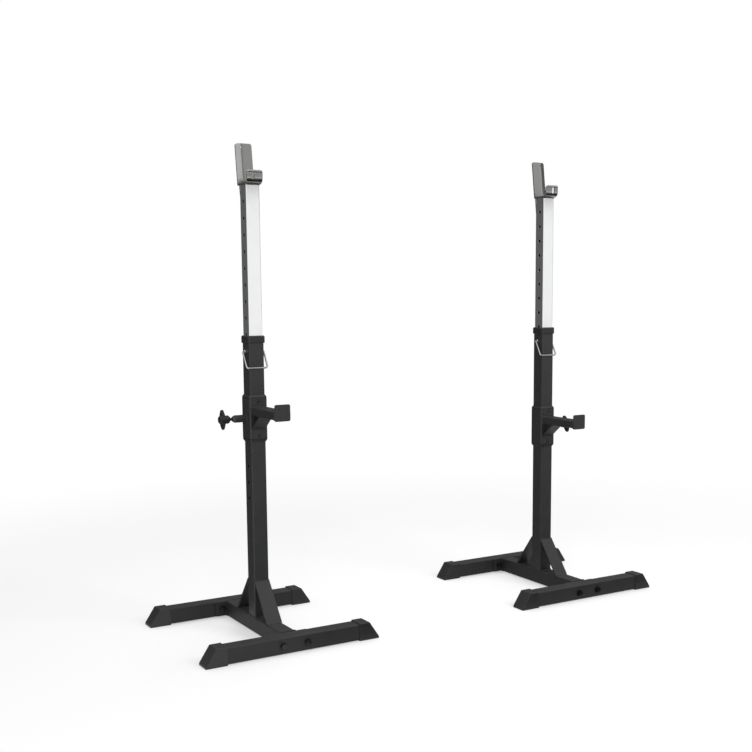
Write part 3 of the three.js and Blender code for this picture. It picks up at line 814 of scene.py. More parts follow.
@dataclass(frozen=True)
class PowderCoat(Finish):
    """Satin powder coat: orange-peel grain, thin edges and a little dust on top."""

    grain: float = 0.8 * MM
    relief: float = 0.5
    mottle: Pair = (0.86, 1.16)  # its darkest and lightest tone
    wear: float = 0.35
    wear_width: float = 0.8 * MM
    worn: float = 2.6  # tone of a worn edge
    dust: float = 0.1
    dust_colour: Triple = (0.32, 0.31, 0.29)
    shine: float = 0.3  # specular level

    def surface(self, graph: Graph) -> Inputs:
        """What goes into the shader's inputs."""
        skin = self.effect(graph, EFFECTS.grain, Size=self.grain, Strength=self.relief)
        wear = self.effect(graph, EFFECTS.edge_wear, Amount=self.wear, Width=self.wear_width)
        dust = self.effect(graph, EFFECTS.dust, Amount=self.dust)
        dark, pale = (self.tone(factor) for factor in self.mottle)
        worn = graph.blend(wear[0], graph.blend(skin["Mottle"], dark, pale), self.tone(self.worn))
        return {
            "Base Color": graph.blend(dust[0], worn, (*self.dust_colour, 1.0)),
            "Roughness": graph.reach(skin["Mottle"], *self.roughness),
            "Normal": skin["Normal"],
            "Specular IOR Level": self.shine,
        }


@dataclass(frozen=True)
class MouldedPlastic(PowderCoat):
    """Moulded plastic: a fine spark-eroded grain, paler rubbed edges."""

    grain: float = 0.35 * MM
    relief: float = 0.7
    mottle: Pair = (0.85, 1.2)
    wear: float = 0.5
    wear_width: float = 1.2 * MM
    worn: float = 2.2
    dust: float = 0.12
    dust_colour: Triple = (0.3, 0.29, 0.27)


@dataclass(frozen=True)
class PlatedSteel(Finish):
    """Plated or unplated steel: drawing lines, fingerprints, a dull inside with painted shade."""

    across: float = 900.0  # drawing lines to a metre
    along: float = 6.0  # changes of a line to a metre of its length
    wear: float = 0.4
    wear_width: float = 0.6 * MM
    clean: float = 1.04  # tone without haze
    stain: float = 0.9  # tone under the haze
    worn: float = 1.12  # tone of a rubbed edge
    inside: float = 0.06  # tone of a tube's inside: painted shade, far darker than unplated steel
    inside_roughness: float = 0.6
    mark_gain: float = 8.0  # keeps the inside's mark whole up to the rims of the holes, so the painted shade reaches them

    def surface(self, graph: Graph) -> Inputs:
        """What goes into the shader's inputs."""
        ways = {"Across": self.across, "Along": self.along}
        lines = self.effect(graph, EFFECTS.drawing_lines, **ways)
        wear = self.effect(graph, EFFECTS.edge_wear, Amount=self.wear, Width=self.wear_width)
        tinted = graph.blend(lines["Haze"], self.tone(self.clean), self.tone(self.stain))
        worn = graph.blend(wear[0], tinted, self.tone(self.worn))
        # The inside's mark makes it dull and near black; the near-black tone is painted shade.
        mark = graph.add("Attribute", attribute_name=SHADED_INSIDE).outputs["Fac"]
        bare_and_shaded = graph.math("MINIMUM", graph.math("MULTIPLY", mark, self.mark_gain), 1.0)
        haze = graph.reach(lines["Haze"], *self.roughness)
        dull = graph.math("MULTIPLY", bare_and_shaded, self.inside_roughness)
        return {
            "Base Color": graph.blend(bare_and_shaded, worn, self.tone(self.inside)),
            "Roughness": graph.math("MAXIMUM", haze, dull),
            "Normal": lines["Normal"],
            "Metallic": 1.0,
        }


FINISHES = (
    PowderCoat(Slot.BASE_PAINT, (0.02, 0.0205, 0.0215), (0.5, 0.64), grain=0.9 * MM, dust=0.12),
    PowderCoat(Slot.POST_PAINT, (0.021, 0.0215, 0.0224), (0.38, 0.52), dust=0.02, shine=0.5),
    MouldedPlastic(Slot.BLACK_PLASTIC, (0.013, 0.013, 0.0136), (0.42, 0.56), shine=0.55),
    MouldedPlastic(Slot.KNOB_PLASTIC, (0.011, 0.011, 0.0115), (0.42, 0.56), grain=0.3 * MM),
    PlatedSteel(Slot.MAST_CHROME, (0.86, 0.865, 0.87), (0.07, 0.2)),
    PlatedSteel(Slot.CRADLE_CHROME, (0.42, 0.42, 0.41), (0.16, 0.36), across=600.0, along=9.0),
    PlatedSteel(Slot.BRIGHT_STEEL, (0.55, 0.56, 0.57), (0.2, 0.38), across=400.0, along=60.0),
    PlatedSteel(Slot.FASTENER_STEEL, (0.05, 0.05, 0.052), (0.35, 0.55), across=300.0, along=120.0),
    PlatedSteel(Slot.SPRING_STEEL, (0.25, 0.25, 0.26), (0.25, 0.45), across=500.0, along=500.0),
)


# Pieces of a stand


@dataclass(frozen=True)
class Envelope:
    """The box of a node of the right stand, with X measured from the stand's centre line."""

    low: Vector
    high: Vector

    @staticmethod
    def of(node: str) -> "Envelope":
        """The box of a node, given without its side."""
        centre = Vector((stand_centre(), 0, 0))
        low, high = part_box("right_" + node)
        return Envelope(low - centre, high - centre)

    @property
    def size(self) -> Vector:
        """The box's three sides."""
        return self.high - self.low

    @property
    def middle(self) -> Vector:
        """The box's centre."""
        return (self.low + self.high) / 2


def stand_centre() -> float:
    """The right stand's centre line on X, through the middle of its post."""
    low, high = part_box("right_post_tube")
    return (low.x + high.x) / 2


@dataclass(frozen=True)
class Piece:
    """One finished piece of a stand.

    Args:
        node: The frame's node that it stands for, without its side.
        body: The body that it rides on, without its side.
        slot: The slot of its finish.
        skin: Its skin, on the right stand.
        rim: Radius given to its cut edges, or 0.
        carried: True if its heights are measured from the locking pin of the carriage.
        winged: True for the knob, whose wings are turned on each stand.
        squashed: True for the spring, which the pulled pin shortens.
        hollow: Half the width of the tube's inside about the stand's axis, or 0.
    """

    node: str
    body: str
    slot: Slot
    skin: Skin
    rim: float = 0.0
    carried: bool = False
    winged: bool = False
    squashed: bool = False
    hollow: float = 0.0


@dataclass(frozen=True)
class Fastener:
    """A hexagon bolt and its nut with washers; the axis is X and the bearing face X = 0."""

    diameter: float = 10 * MM
    pitch: float = 1.5 * MM
    across: float = 17 * MM
    head: float = 6.35 * MM
    washer: float = 21 * MM
    washer_thickness: float = 1.8 * MM
    washer_play: float = 0.2 * MM
    thread_depth: float = 0.55 * MM
    thread_length: float = 14 * MM
    face_share: float = 0.97  # the hexagon's flat end face against its width across flats

    def hexagon(self, start: float, end: float, bore: float = 0.0) -> Skin:
        """A hexagon whose corners are chamfered at 30 degrees.

        The radius at an angle is half the width across flats over the cosine of the angle from
        the nearest flat's middle; past the inner circle the end faces fall by its tangent.

        Args:
            start: Where it starts along X.
            end: Where it ends.
            bore: Radius of its bore, or 0.

        Returns:
            The hexagon.
        """
        angle = angles(ROUND)
        reach = self.across / 2 / np.cos(np.mod(angle, math.pi / 3) - math.pi / 6)
        flat = self.across / 2 * self.face_share
        fall = (reach - flat) * math.tan(math.pi / 6)
        rows = [(start, flat), (start + fall, reach), (end - fall, reach), (end, flat)]
        if bore:
            rows += [(end, bore), (start, bore)]
        columns = [[np.broadcast_to(part, ROUND) for part in column] for column in zip(*rows)]
        return Skin.over(about_x(*map(np.stack, columns), angle), ring=bool(bore))

    def shank(self, length: float) -> Skin:
        """The shank with a helical thread at its end.

        In the thread the radius is r - depth |2 frac(x / pitch - a / 2 pi) - 1|.

        Args:
            length: From the bearing face to its end.

        Returns:
            The shank.
        """
        sides, steps = 18, 5
        thread = np.arange(int(self.thread_length / self.pitch) * steps + 1) * self.pitch / steps
        x = np.concatenate([[-MM, length - thread[-1] - MM], length - thread[::-1]])[:, None]
        angle = angles(sides)
        phase = np.mod(x / self.pitch - angle / (2 * math.pi), 1)
        depth = np.where(x > x[1], self.thread_depth * np.abs(2 * phase - 1), 0)
        return Skin.over(about_x(x, self.diameter / 2 - depth, angle))

    def disc(self, start: float) -> Skin:
        """A washer from a place along X."""
        end, bore = start + self.washer_thickness, self.diameter / 2 + self.washer_play
        ring = [(start, bore), (start, self.washer / 2), (end, self.washer / 2), (end, bore)]
        return revolved(ring, RIM, ring=True)

    def bolt(self, length: float) -> Skin:
        """The bolt with its washer; the head lies at -X."""
        face = -self.washer_thickness
        return self.hexagon(face - self.head, face).with_others(self.disc(face), self.shank(length))

    def nut(self, height: float) -> Skin:
        """The nut with its washer; it lies at +X."""
        bore = self.diameter / 2 + self.washer_play
        return self.hexagon(self.washer_thickness, height, bore).with_others(self.disc(0))


@dataclass(frozen=True)
class Base:
    """The foot beams, the cross beam with its flanges, the caps and the fasteners."""

    vent: float = 12 * MM
    flange: float = 4 * MM
    flange_step: float = 1 * MM
    flange_corner: float = 6 * MM
    cap_toe: float = 6 * MM
    cap_top_reach: float = 12 * MM
    cap_edge: float = 2.2 * MM
    overrun: float = 5 * MM
    strap: float = 5 * MM
    bead: WeldBead = WeldBead()
    fastener: Fastener = Fastener()

    def foot_beam(self) -> Skin:
        """The front foot beam, drilled for its bolts."""
        beam, bolt = Envelope.of("front_foot_beam"), Envelope.of("front_outer_base_bolt")
        tube = hollow_bar(beam.size.y, TUBE_CORNER, beam.size.x).turned(90, "Y")
        drill = rod(DRILLED, 2 * beam.size.y, "Y")
        drilled = tube.carved(drill.moved(x=bolt.middle.x), drill.moved(x=-bolt.middle.x))
        return drilled.moved(y=beam.middle.y, z=beam.middle.z)

    def foot_cap(self) -> Skin:
        """The front outer cap: a socket for the tube and a nose that slopes down to the toe."""
        cap, beam = Envelope.of("front_outer_foot_cap"), Envelope.of("front_foot_beam")
        start, end, height = cap.low.x, cap.high.x, cap.size.z
        top = beam.high.x + self.cap_top_reach
        side = [(start, 0), (end, 0), (end, self.cap_toe), (top, height), (start, height)]
        nose = along_y(slab(softened(side, self.cap_edge), cap.size.y, self.cap_edge, steps=4))
        room = beam.size.y + 2 * SEAM
        depth = beam.high.x + SEAM - start + self.overrun
        outline = rounded_rectangle(room, room, TUBE_CORNER + SEAM)
        socket = along_x(stacked([(outline, 0), (outline, depth)]))
        socket = socket.moved(x=start - self.overrun, z=beam.middle.z)
        return nose.carved(socket).moved(y=beam.middle.y)

    def cross_beam(self) -> Skin:
        """The cross beam with a flange welded to each end."""
        beam, bolt = Envelope.of("cross_beam"), Envelope.of("front_outer_base_bolt")
        width, length = beam.size.z, beam.size.y - self.flange
        tube = hollow_bar(width, TUBE_CORNER, length).turned(90, "X")
        outline = rounded_rectangle(beam.size.x, width - 2 * self.flange_step, self.flange_corner)
        drill = rod(DRILLED, beam.size.y, "Y")
        drills = [drill.moved(x=side * bolt.middle.x) for side in (-1, 1)]
        plate = along_y(slab(outline, self.flange, edge=0.6 * MM))
        plate = plate.carved(*drills, rod(self.vent, beam.size.y, "Y"))
        place = beam.high.y - self.flange / 2
        face, loop = place - self.flange / 2, level_loop(width, width, TUBE_CORNER)[:, [0, 2, 1]]
        seams = [self.bead.along(loop + (0, side * face, 0), True) for side in (-1, 1)]
        made = tube.with_others(plate.moved(y=-place), plate.moved(y=place), *seams)
        return made.moved(z=beam.middle.z)

    def foot_strap(self) -> Skin:
        """The front strap from the post down to the cross beam, with a bead at each end."""
        box = Envelope.of("front_foot_strap")
        top, toe = (box.high.y, box.high.z), (box.low.y, box.low.z)
        reach = box.size.x / 2 - self.bead.radius
        seams = [self.bead.across(reach, *end) for end in (top, toe)]
        return slanted_flat(top, toe, self.strap, box.size.x).with_others(*seams)

    def pieces(self) -> Iterator[Piece]:
        """The base's pieces; those at the back mirror those in front."""
        beam, cap, strap = self.foot_beam(), self.foot_cap(), self.foot_strap()
        bolt_box, nut_box = (Envelope.of("front_outer_base_" + end) for end in ("bolt", "nut"))
        face = Envelope.of("front_foot_beam").low.y - SEAM
        bolt = self.fastener.bolt(bolt_box.high.y - face).turned(90, "Z").moved(y=face)
        nut = self.fastener.nut(nut_box.size.y).turned(90, "Z").moved(y=nut_box.low.y)
        made = [
            ("cross_beam", Slot.BASE_PAINT, self.cross_beam(), RIM),
            ("front_foot_beam", Slot.BASE_PAINT, beam, RIM),
            ("front_foot_strap", Slot.POST_PAINT, strap, 0.0),
        ]
        for flank, way in (("inner", -1), ("outer", 1)):
            name = f"front_{flank}_"
            place = dict(x=way * bolt_box.middle.x, z=bolt_box.middle.z)
            across = cap if way > 0 else cap.mirrored(0)
            made.append((name + "foot_cap", Slot.BLACK_PLASTIC, across, RIM))
            made.append((name + "base_bolt", Slot.FASTENER_STEEL, bolt.moved(**place), 0.0))
            made.append((name + "base_nut", Slot.FASTENER_STEEL, nut.moved(**place), 0.0))
        for name, slot, skin, rim in made:
            yield Piece(name, "frame", slot, skin, rim)
        for name, slot, skin, rim in made[1:]:
            yield Piece(name.replace("front", "rear"), "frame", slot, skin.mirrored(1), rim)


@dataclass(frozen=True)
class Post:
    """The post with its side holes, and the guide cap on its top."""

    side_holes: int = 7
    side_hole_drop: float = 156 * MM  # from the lock pin to the top side hole
    cap_chamfer: float = 3 * MM
    cap_bore_corner: float = 2 * MM
    mast_clearance: float = 0.5 * MM
    bead: WeldBead = WeldBead()

    def tube(self) -> Skin:
        """The post, welded to the cross beam at its foot."""
        post, pin = Envelope.of("post_tube"), Envelope.of("lock_pin").middle.z
        width = post.size.x
        tube = hollow_bar(width, TUBE_CORNER, post.size.z).moved(z=post.middle.z)
        drill = rod(DRILLED, width, "X").moved(x=post.high.x)
        heights = [pin - self.side_hole_drop - n * HOLE_PITCH for n in range(self.side_holes)]
        drills = [rod(DRILLED, 2 * width, "X").moved(z=pin), *(drill.moved(z=z) for z in heights)]
        loop = level_loop(width, width, TUBE_CORNER) + (0, 0, post.low.z)
        return tube.carved(*drills).with_others(self.bead.along(loop, True))

    def guide_cap(self) -> Skin:
        """The chamfered collar that holds the mast straight."""
        cap, post = Envelope.of("guide_cap"), Envelope.of("post_tube")
        mast = Envelope.of("mast_tube").high.x + self.mast_clearance
        outer, socket = cap.high.x, post.high.x + SEAM
        corner = TUBE_CORNER + outer - post.high.x
        bevel, skirt, ledge = self.cap_chamfer, self.cap_chamfer / 2, post.high.z + SEAM
        profile = [
            (outer - bevel, cap.high.z, corner - bevel),
            (outer, cap.high.z - bevel, corner),
            (outer, cap.low.z + skirt, corner),
            (outer - skirt, cap.low.z, corner - skirt),
            (socket, cap.low.z, TUBE_CORNER),
            (socket, ledge, TUBE_CORNER),
            (mast, ledge, self.cap_bore_corner),
            (mast, cap.high.z, self.cap_bore_corner),
        ]
        return square_ring(profile, edge=0.8 * MM)

    def pieces(self) -> Iterator[Piece]:
        """The post and its cap."""
        yield Piece("post_tube", "frame", Slot.POST_PAINT, self.tube(), RIM)
        yield Piece("guide_cap", "frame", Slot.BLACK_PLASTIC, self.guide_cap())


@dataclass(frozen=True)
class LockPin:
    """The pin through post and mast, and the wire bail that turns in its ends."""

    chamfer: float = 1.5 * MM
    wire_diameter: float = 5.5 * MM
    wire_in_pin: float = 7 * MM
    end_wall: float = 2 * MM
    drop: float = 51 * MM
    bend: float = 9 * MM
    eye: float = 4 * MM

    def pin(self) -> Skin:
        """The pin along X with a bore in each end."""
        pin = Envelope.of("lock_pin")
        end, radius = pin.high.x, pin.size.z / 2
        bore, floor = self.wire_diameter / 2 + SEAM, end - (self.wire_in_pin + self.end_wall)
        rim = [(-end, radius - self.chamfer), (-(end - self.chamfer), radius)]
        profile = with_mirror([(-floor, bore), (-end, bore), *rim])
        return revolved(profile, RIM).moved(z=pin.middle.z)

    def bail(self) -> Skin:
        """The bail: out of the pin, down to the front of the post and across it."""
        pin, bail, post = (Envelope.of(node) for node in ("lock_pin", "pin_bail", "post_tube"))
        radius = self.wire_diameter / 2
        side, stub = bail.high.x - radius, pin.high.x - self.wire_in_pin
        front = -(post.high.y + SEAM + radius)
        corners = with_mirror([(stub, 0, 0), (side, 0, 0), (side, front, -self.drop)])
        route = rounded_route(corners, [self.eye, self.bend, self.bend, self.eye])
        return wire(route, radius, sides=20).moved(z=pin.middle.z)

    def pieces(self) -> Iterator[Piece]:
        """The pin and its bail."""
        yield Piece("lock_pin", "frame", Slot.BRIGHT_STEEL, self.pin())
        yield Piece("pin_bail", "bail", Slot.BRIGHT_STEEL, self.bail())


@dataclass(frozen=True)
class Cradle:
    """The bar cradle on the mast's top; its own zero is the mast's top and middle."""

    thickness: float = 5 * MM
    edge: float = 0.9 * MM
    seat_depth: float = 58 * MM
    lip_height: float = 27 * MM
    lip_flare: float = 4 * MM
    lip_corner: float = 7 * MM
    seat_bend: float = 14 * MM
    flare_angle: float = math.radians(75)
    slot_width: float = 9 * MM
    slot_height: float = 22 * MM
    slot_offset: float = 6 * MM
    back_corner: float = 7 * MM
    lean: float = 7.0  # degrees
    crease_strip: float = 18 * MM
    crease_angle: float = math.radians(12)
    crease_bend: float = 3.5 * MM
    tail_length: float = 56 * MM
    tail_taper: float = 5 * MM
    tail_rounding: float = 4 * MM
    bead_start: float = 2 * MM  # below the mast's top
    bead_margin: float = 3 * MM  # from the strap's sides
    hang_hole: float = 5 * MM
    hang_hole_drop: float = 11 * MM
    bead: WeldBead = WeldBead(radius=1.8 * MM, drop=2.6 * MM)

    def back_plate(self, width: float, height: float) -> Skin:
        """The creased back plate, leaning back from the mast's top.

        At a share u of its half width w(z) the front lies at x = u w and at
        y = tan(crease angle) (d + sqrt(d^2 + bend^2)) / 2, with d = x - crease. Near the top
        w(z) follows the corners' quarter circles.

        Args:
            width: From side to side.
            height: From the mast's top to the plate's top.

        Returns:
            The plate.
        """
        length = height / math.cos(math.radians(self.lean))
        crease = width / 2 - self.crease_strip
        z, drawn = rounded_end(length, self.back_corner, rows=24, steps=8)
        x = (width / 2 - drawn)[:, None] * np.linspace(-1, 1, 45)
        past = x - crease
        front = math.tan(self.crease_angle) * (past + np.sqrt(past**2 + self.crease_bend**2)) / 2
        face = np.stack([x, front, np.broadcast_to(z[:, None], x.shape)], axis=-1)
        back = face[:, ::-1] + (0, self.thickness, 0)
        plate = Skin.over(np.concatenate([face, back], axis=1))
        hole = rod(self.hang_hole, width, "Y").moved(x=crease, z=length - self.hang_hole_drop)
        return plate.carved(hole).turned(-self.lean, "X")

    def tail(self, mast: float, width: float) -> Skin:
        """The plate's narrowing tail down the back of the mast.

        Args:
            mast: The mast's width.
            width: The plate's width.

        Returns:
            The tail.
        """
        root, low, rise = mast / 2, -self.tail_length, self.tail_length / 4
        tip, wide = root - self.tail_taper, width / 2 - self.back_corner
        corners = [(-root, 0), (-tip, low), (tip, low), (root, 0), (wide, rise), (-wide, rise)]
        plate = slab(softened(corners, self.tail_rounding), self.thickness, self.edge)
        return along_y(plate).moved(y=self.thickness / 2)

    def hook(self, width: float) -> Skin:
        """Seat, bend and lip as one strap along its centre line, with its slot; the seat is z = 0.

        A row of the strap is a rounded rectangle across the path, and over the last stretch two
        quarter circles draw its half width in.

        Args:
            width: From side to side.

        Returns:
            The hook.
        """
        half, lip = self.thickness / 2, -self.seat_depth - self.thickness / 2
        turn, flare = self.seat_bend + half, self.lip_flare + half
        tangent = flare * math.tan(self.flare_angle / 2)
        knee = np.array([lip, self.lip_height + tangent])
        away = np.array([-math.sin(self.flare_angle), math.cos(self.flare_angle)])
        corners = [(half, -half), (lip, -half), knee, knee + tangent * away]
        path = rounded_route(corners, [turn, flare], steps=20)
        fine, drawn = rounded_end(runs(path)[-1], self.lip_corner, rows=60, steps=9)
        path = points_at(path, fine)
        ahead = np.gradient(path, fine, axis=0)
        ahead /= np.linalg.norm(ahead, axis=1, keepdims=True)
        normal = np.column_stack([-ahead[:, 1], ahead[:, 0]])
        section = rounded_rectangle(width, self.thickness, self.edge, steps=3)
        x = section[:, 0] * (1 - 2 * drawn[:, None] / width)
        yz = path[:, None] + section[:, 1][None, :, None] * normal[:, None]
        strap = Skin.over(np.concatenate([x[..., None], yz], axis=-1))
        round_end = self.slot_width / 2 - 0.01 * MM  # a little less, so that no two points meet
        slot = rounded_rectangle(self.slot_width, self.slot_height, round_end)
        tool = along_y(stacked([(slot, -self.seat_bend), (slot, self.seat_bend)]))
        height = self.lip_height / 2 + self.thickness
        return strap.carved(tool.moved(x=self.slot_offset, y=lip, z=height))

    def pieces(self) -> Iterator[Piece]:
        """The whole cradle with its welds."""
        box, mast = Envelope.of("bar_cradle"), Envelope.of("mast_tube")
        width, top, half = box.size.x, mast.high.z, mast.high.x
        back, seat = half + SEAM, SEAM + self.thickness
        plate = self.back_plate(width, box.high.z - top).moved(y=back)
        tail = self.tail(mast.size.x, width).moved(y=back)
        hook = self.hook(width).moved(y=back, z=seat)
        inner, low = half - self.tail_taper, -self.tail_length
        beads = [
            self.bead.along([(side * half, back, -self.bead_start), (side * inner, back, low)])
            for side in (-1, 1)
        ]
        beads.append(self.bead.across(width / 2 - self.bead_margin, back, seat))
        sides = [(half, half, 0), (half, -half, 0), (-half, -half, 0), (-half, half, 0)]
        beads.append(self.bead.along(sides))
        whole = plate.with_others(tail, hook, *beads)
        yield Piece("bar_cradle", "mast", Slot.CRADLE_CHROME, whole.moved(z=top), 0.7 * MM)


@dataclass(frozen=True)
class Mast:
    """The chromed mast, punched through its two sides."""

    corner: float = 3 * MM
    first_hole: float = 50 * MM
    holes: int = 15

    def pieces(self) -> Iterator[Piece]:
        """The mast's tube."""
        mast = Envelope.of("mast_tube")
        tube = hollow_bar(mast.size.x, self.corner, mast.size.z).moved(z=mast.middle.z)
        top = mast.high.z - self.first_hole
        drill = rod(DRILLED, 2 * mast.size.x, "X")
        drills = [drill.moved(z=top - index * HOLE_PITCH) for index in range(self.holes)]
        made, inside = tube.carved(*drills), mast.high.x - TUBE_WALL
        yield Piece("mast_tube", "mast", Slot.MAST_CHROME, made, RIM, hollow=inside)


@dataclass(frozen=True)
class Carriage:
    """The sleeve, its guide bushes and the spotter arm; heights from the locking pin's axis."""

    corner: float = 6 * MM
    chamfer: float = 1 * MM
    wall: float = 2.5 * MM
    bush_wall: float = 1.9 * MM
    collar_lip: float = 2.5 * MM
    collar_land: float = 1.2 * MM
    collar_height: float = 9 * MM
    snap_hole: float = 12 * MM
    snap_drop: float = 10 * MM
    snap_recess: float = 1 * MM
    barrel: float = 23 * MM
    barrel_length: float = 38 * MM
    barrel_tip: float = 13 * MM
    chamber: float = 15 * MM
    chamber_start: float = 2.5 * MM
    chamber_end: float = 6 * MM
    pin_bore: float = 10.6 * MM
    stem_bore: float = 8.6 * MM
    arm_height: float = 25 * MM
    arm_corner: float = 2.5 * MM
    arm_above_pin: float = 11 * MM
    brace_run: float = 55 * MM
    brace_rise: float = 43 * MM
    brace: float = 4 * MM
    stop_thickness: float = 5 * MM
    stop_below: float = 4 * MM
    stop_above: float = 21 * MM
    stop_corner: float = 5 * MM
    stop_edge: float = 1.2 * MM
    bead_step: float = 1 * MM  # from the arm's ends to its beads
    bead: WeldBead = WeldBead(radius=2 * MM)

    @cached_property
    def sleeve_box(self) -> Envelope:
        """The sleeve's box with its heights from the pin's axis."""
        box, pin = Envelope.of("carriage_sleeve"), Envelope.of("lock_plunger").middle.z
        return Envelope(box.low - Vector((0, 0, pin)), box.high - Vector((0, 0, pin)))

    def sleeve(self) -> Skin:
        """The sleeve with the barrel of its pin, welded on its outer side."""
        box = self.sleeve_box
        outer, low, high = -box.low.x, box.low.z, box.high.z
        inner, edge, inside = outer - self.wall, self.chamfer, TUBE_CORNER + self.bush_wall
        profile = [
            (outer - edge, low, self.corner - edge),
            (outer, low + edge, self.corner),
            (outer, high - edge, self.corner),
            (outer - edge, high, self.corner - edge),
            (inner, high, inside),
            (inner, low, inside),
        ]
        drills = [rod(self.pin_bore, outer, "X").moved(x=outer)]
        for height in (high - self.snap_drop, low + self.snap_drop):
            drills.append(rod(self.snap_hole, outer, "Y").moved(y=-outer, z=height))
        ring = square_ring(profile, edge=0.8 * MM).carved(*drills)
        end, radius, start = box.high.x, self.barrel / 2, outer + self.chamber_start
        stem, chamber, bore = self.stem_bore / 2, self.chamber / 2, self.pin_bore / 2
        tube = [
            (outer - edge, radius),
            (outer + self.barrel_length, radius),
            (end, self.barrel_tip / 2),
            (end, stem),
            (end - self.chamber_end, stem),
            (end - self.chamber_end, chamber),
            (start, chamber),
            (start, bore),
            (outer - edge, bore),
        ]
        seam = self.bead.along(about_x(np.array(outer), radius, angles(ROUND)), True)
        return ring.with_others(revolved(tube, edge=0.9 * MM, ring=True), seam)

    def bush(self) -> Skin:
        """The upper guide bush with its collar and its snap button, from the pin's axis."""
        box = self.sleeve_box
        outer, post = -box.low.x, Envelope.of("post_tube").high.x
        pin = Envelope.of("lock_plunger").middle.z
        depth = box.high.z - (Envelope.of("upper_guide_bush").low.z - pin)
        bush_outer, inner = outer - self.wall - SEAM, post + SEAM
        inside, collar = TUBE_CORNER + self.bush_wall, SEAM + self.collar_height
        profile = [
            (bush_outer, -depth, inside),
            (bush_outer, SEAM, inside),
            (outer, SEAM, self.corner),
            (outer, SEAM + self.collar_lip, self.corner),
            (inner + self.collar_land, collar, TUBE_CORNER + self.collar_land),
            (inner, collar, TUBE_CORNER),
            (inner, -depth, TUBE_CORNER),
        ]
        radius, face = self.snap_hole / 2 - SEAM, outer - self.snap_recess
        dome = [(bush_outer - SEAM, radius), (face - 0.5 * MM, radius), (face, radius * 0.6)]
        button = revolved(dome, edge=0.6 * MM).turned(-90, "Z").moved(z=-self.snap_drop)
        return square_ring(profile, edge=0.7 * MM).with_others(button).moved(z=box.high.z)

    def arm(self) -> Skin:
        """The spotter arm: a flat tube, its brace and its end stop, welded together."""
        box = Envelope.of("spotter_arm")
        width, root, corner = box.size.x, box.high.y, self.arm_corner
        length = -(box.low.y + self.stop_thickness - self.chamfer - root)
        base, middle = self.arm_above_pin, self.arm_above_pin + self.arm_height / 2
        tube = hollow_bar(width, corner, length, self.arm_height).turned(90, "X")
        foot, tip = base - self.brace_rise, root - self.brace_run
        brace_width = width - 2 * corner
        brace = slanted_flat((root, foot), (tip, base), self.brace, brace_width)
        height = self.stop_below + self.arm_height + self.stop_above
        outline = rounded_rectangle(width, height, self.stop_corner)
        stop = along_y(slab(outline, self.stop_thickness, self.stop_edge, steps=4))
        stop_z = base - self.stop_below + height / 2
        stop = stop.moved(y=box.low.y + self.stop_thickness / 2, z=stop_z)
        loop = level_loop(width, self.arm_height, corner)[:, [0, 2, 1]] + (0, 0, middle)
        start, reach = root - self.bead_step, brace_width / 2 - self.bead.radius
        ends = (start, root - length + self.bead_step)
        beads = [self.bead.along(loop + (0, y, 0), True) for y in ends]
        beads += [self.bead.across(reach, y, z) for y, z in ((start, foot), (tip, base))]
        return tube.moved(y=root - length / 2, z=middle).with_others(brace, stop, *beads)

    def pieces(self) -> Iterator[Piece]:
        """The carriage's pieces."""
        bush, centre = self.bush(), (self.sleeve_box.low.z + self.sleeve_box.high.z) / 2
        lower = bush.moved(z=-centre).mirrored(2).moved(z=centre)
        for node, slot, skin, rim in (
            ("carriage_sleeve", Slot.POST_PAINT, self.sleeve(), 0.4 * MM),
            ("upper_guide_bush", Slot.BLACK_PLASTIC, bush, 0.0),
            ("lower_guide_bush", Slot.BLACK_PLASTIC, lower, 0.0),
            ("spotter_arm", Slot.POST_PAINT, self.arm(), 0.4 * MM),
        ):
            yield Piece(node, "carriage", slot, skin, rim, carried=True)


